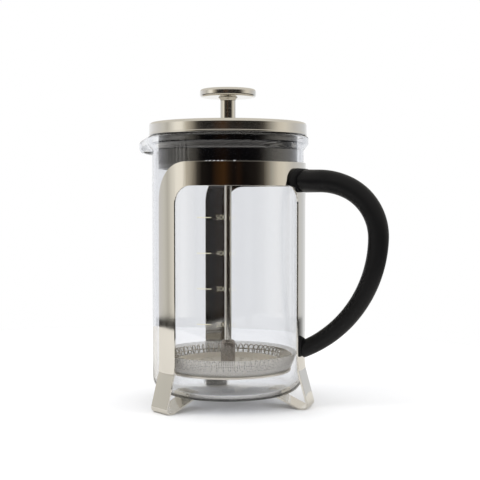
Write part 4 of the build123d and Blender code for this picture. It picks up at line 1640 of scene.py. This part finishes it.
@dataclass
class Studio:
    """A pale floor, a soft white studio round it, and the camera."""

    floor_radius: float = 0.322
    floor_middle: tuple[float, float] = (-0.063, -0.011)
    floor_steps: int = 96
    camera_azimuth: float = 20.0
    camera_distance: float = 0.581
    camera_height: float = 0.119
    camera_pitch: float = 2.53
    camera_pan: float = 0.675
    lens_mm: float = 76.35
    panels: tuple[tuple[float, str], ...] = (
        (-180, "ffffff"),
        (-150, "f2f3f6"),
        (-119, "d8d6d6"),
        (-106, "d6d4ce"),
        (-97, "c4c1ba"),
        (-80, "fffbf2"),
        (-70, "fffaf0"),
        (-62, "c4bdaf"),
        (-51, "8d867a"),
        (-45, "45403a"),
        (-38, "1a1613"),
        (-24, "0d0a09"),
        (-16, "2e1e10"),
        (-6, "3c2712"),
        (2, "20150c"),
        (9, "0f0b09"),
        (15, "22160d"),
        (23, "0d0a09"),
        (40, "1c1815"),
        (46, "2c2824"),
        (52, "45403a"),
        (59, "857f75"),
        (67, "b0aca2"),
        (78, "dcd5c8"),
        (90, "e4ded2"),
        (110, "cfccc8"),
        (142, "d8dadd"),
        (165, "f4f5f7"),
        (180, "ffffff"),
    )
    table_edge: Span = (-0.1205, -0.119)
    table_shade: float = 0.03
    back_turn: Span = (2.2, 2.6)
    ceiling_edge: Span = (0.14, 0.22)
    ceiling: str = "dcd8d0"
    key_place: tuple[float, float, float] = (-0.5, -0.45, 0.8)
    key_watts: float = 3.0
    fill_place: tuple[float, float, float] = (0.6, 0.1, 0.7)
    fill_watts: float = 1.5
    lamp_size: float = 0.6
    lamp_aim: tuple[float, float, float] = (0.0, 0.0, 0.08)

    def floor(self) -> None:
        """Lays the round floor that the press stands on."""
        ring = range(self.floor_steps)
        turns = [2 * math.pi * k / self.floor_steps for k in ring]
        across, deep = self.floor_middle
        reach = self.floor_radius
        points = [(across + reach * math.cos(t), deep + reach * math.sin(t), 0.0) for t in turns]
        new_object("floor", points, [list(ring)], PaleFloor("white_card"))

    def surroundings(self) -> None:
        """Fills the world: plain white to look at, with dark and light panels in reflections."""
        world = bpy.data.worlds.new("studio")
        world.use_nodes = True
        bpy.context.scene.world = world
        tree = world.node_tree
        tree.nodes.clear()
        way = add_node(tree, "ShaderNodeTexCoord").outputs["Generated"]
        split = add_node(tree, "ShaderNodeSeparateXYZ", {0: way})
        bearing = maths(tree, "ARCTAN2", split.outputs["Y"], split.outputs["X"])
        camera_bearing = math.radians(self.camera_azimuth - 90)
        away = maths(tree, "WRAP", maths(tree, "SUBTRACT", bearing, camera_bearing), math.pi, -math.pi)
        share = maths(tree, "MULTIPLY_ADD", away, 0.5 / math.pi, 0.5)
        panels = add_node(tree, "ShaderNodeValToRGB", {0: share})
        ramp = panels.color_ramp
        while len(ramp.elements) < len(self.panels):
            ramp.elements.new(0.5)
        for element, (degrees, colour) in zip(ramp.elements, self.panels):
            element.position = 0.5 + degrees / 360
            element.color = linear(colour)
        upward = split.outputs["Z"]
        low = remap(tree, upward, self.table_edge, (self.table_shade, 1.0))
        behind = remap(tree, maths(tree, "ABSOLUTE", away), self.back_turn, (0.0, 1.0))
        lifted = maths(tree, "MAXIMUM", low, behind)
        dimmed = add_node(
            tree,
            "ShaderNodeMix",
            {0: 1.0, 6: panels.outputs[0], 7: lifted},
            data_type="RGBA",
            blend_type="MULTIPLY",
        )
        high = remap(tree, upward, self.ceiling_edge, (0.0, 1.0))
        overhead = {0: high, 6: dimmed.outputs[2], 7: linear(self.ceiling)}
        studio = add_node(tree, "ShaderNodeMix", overhead, data_type="RGBA")
        ray = add_node(tree, "ShaderNodeLightPath")
        bounced = maths(tree, "MINIMUM", ray.outputs["Glossy Depth"], 1.0)
        mirrored = {0: bounced, 6: (1.0, 1.0, 1.0, 1.0), 7: studio.outputs[2]}
        seen = add_node(tree, "ShaderNodeMix", mirrored, data_type="RGBA")
        background = add_node(tree, "ShaderNodeBackground", {"Color": seen.outputs[2], "Strength": 1.0})
        add_node(tree, "ShaderNodeOutputWorld", {"Surface": background.outputs[0]})

    def lamp(self, name: str, place: tuple[float, float, float], watts: float) -> None:
        """Hangs a soft square lamp that points at the press and shows in no reflection.

        Args:
            name: the lamp's name.
            place: where it hangs.
            watts: its power.
        """
        light = bpy.data.lights.new(name, "AREA")
        light.energy = watts
        light.size = self.lamp_size
        made = bpy.data.objects.new(name, light)
        made.location = place
        aim = Vector(self.lamp_aim) - Vector(place)
        made.rotation_euler = aim.to_track_quat("-Z", "Y").to_euler()
        made.visible_camera = False
        made.visible_glossy = False
        made.visible_transmission = False
        bpy.context.scene.collection.objects.link(made)

    def camera(self) -> None:
        """Sets the camera level with the upper part of the glass, tilted down a little."""
        azimuth = math.radians(self.camera_azimuth)
        lens = bpy.data.cameras.new("camera")
        lens.lens = self.lens_mm
        lens.sensor_width = 36.0
        lens.clip_start = 0.01
        made = bpy.data.objects.new("camera", lens)
        made.location = (
            self.camera_distance * math.sin(azimuth),
            -self.camera_distance * math.cos(azimuth),
            self.camera_height,
        )
        turned = azimuth - math.radians(self.camera_pan)
        made.rotation_euler = (math.radians(90 - self.camera_pitch), 0.0, turned)
        bpy.context.scene.collection.objects.link(made)
        bpy.context.scene.camera = made

    def build(self) -> None:
        """Builds the floor, the surroundings, the lamps and the camera."""
        self.floor()
        self.surroundings()
        self.lamp("key_light", self.key_place, self.key_watts)
        self.lamp("fill_light", self.fill_place, self.fill_watts)
        self.camera()
        bpy.context.scene.view_settings.view_transform = "Standard"


# ---- assembly ---------------------------------------------------------------------------


def main() -> None:
    """Builds the sub-assemblies in order, then the studio."""
    logging.basicConfig(level=logging.INFO, format="%(message)s")
    for part in (Beaker(), BentFrame(), Handle(), Lid(), Guide(), Plunger(), Filter(), Studio()):
        part.build()
        LOG.info("%s built", type(part).__name__)


if __name__ == "__main__":
    main()
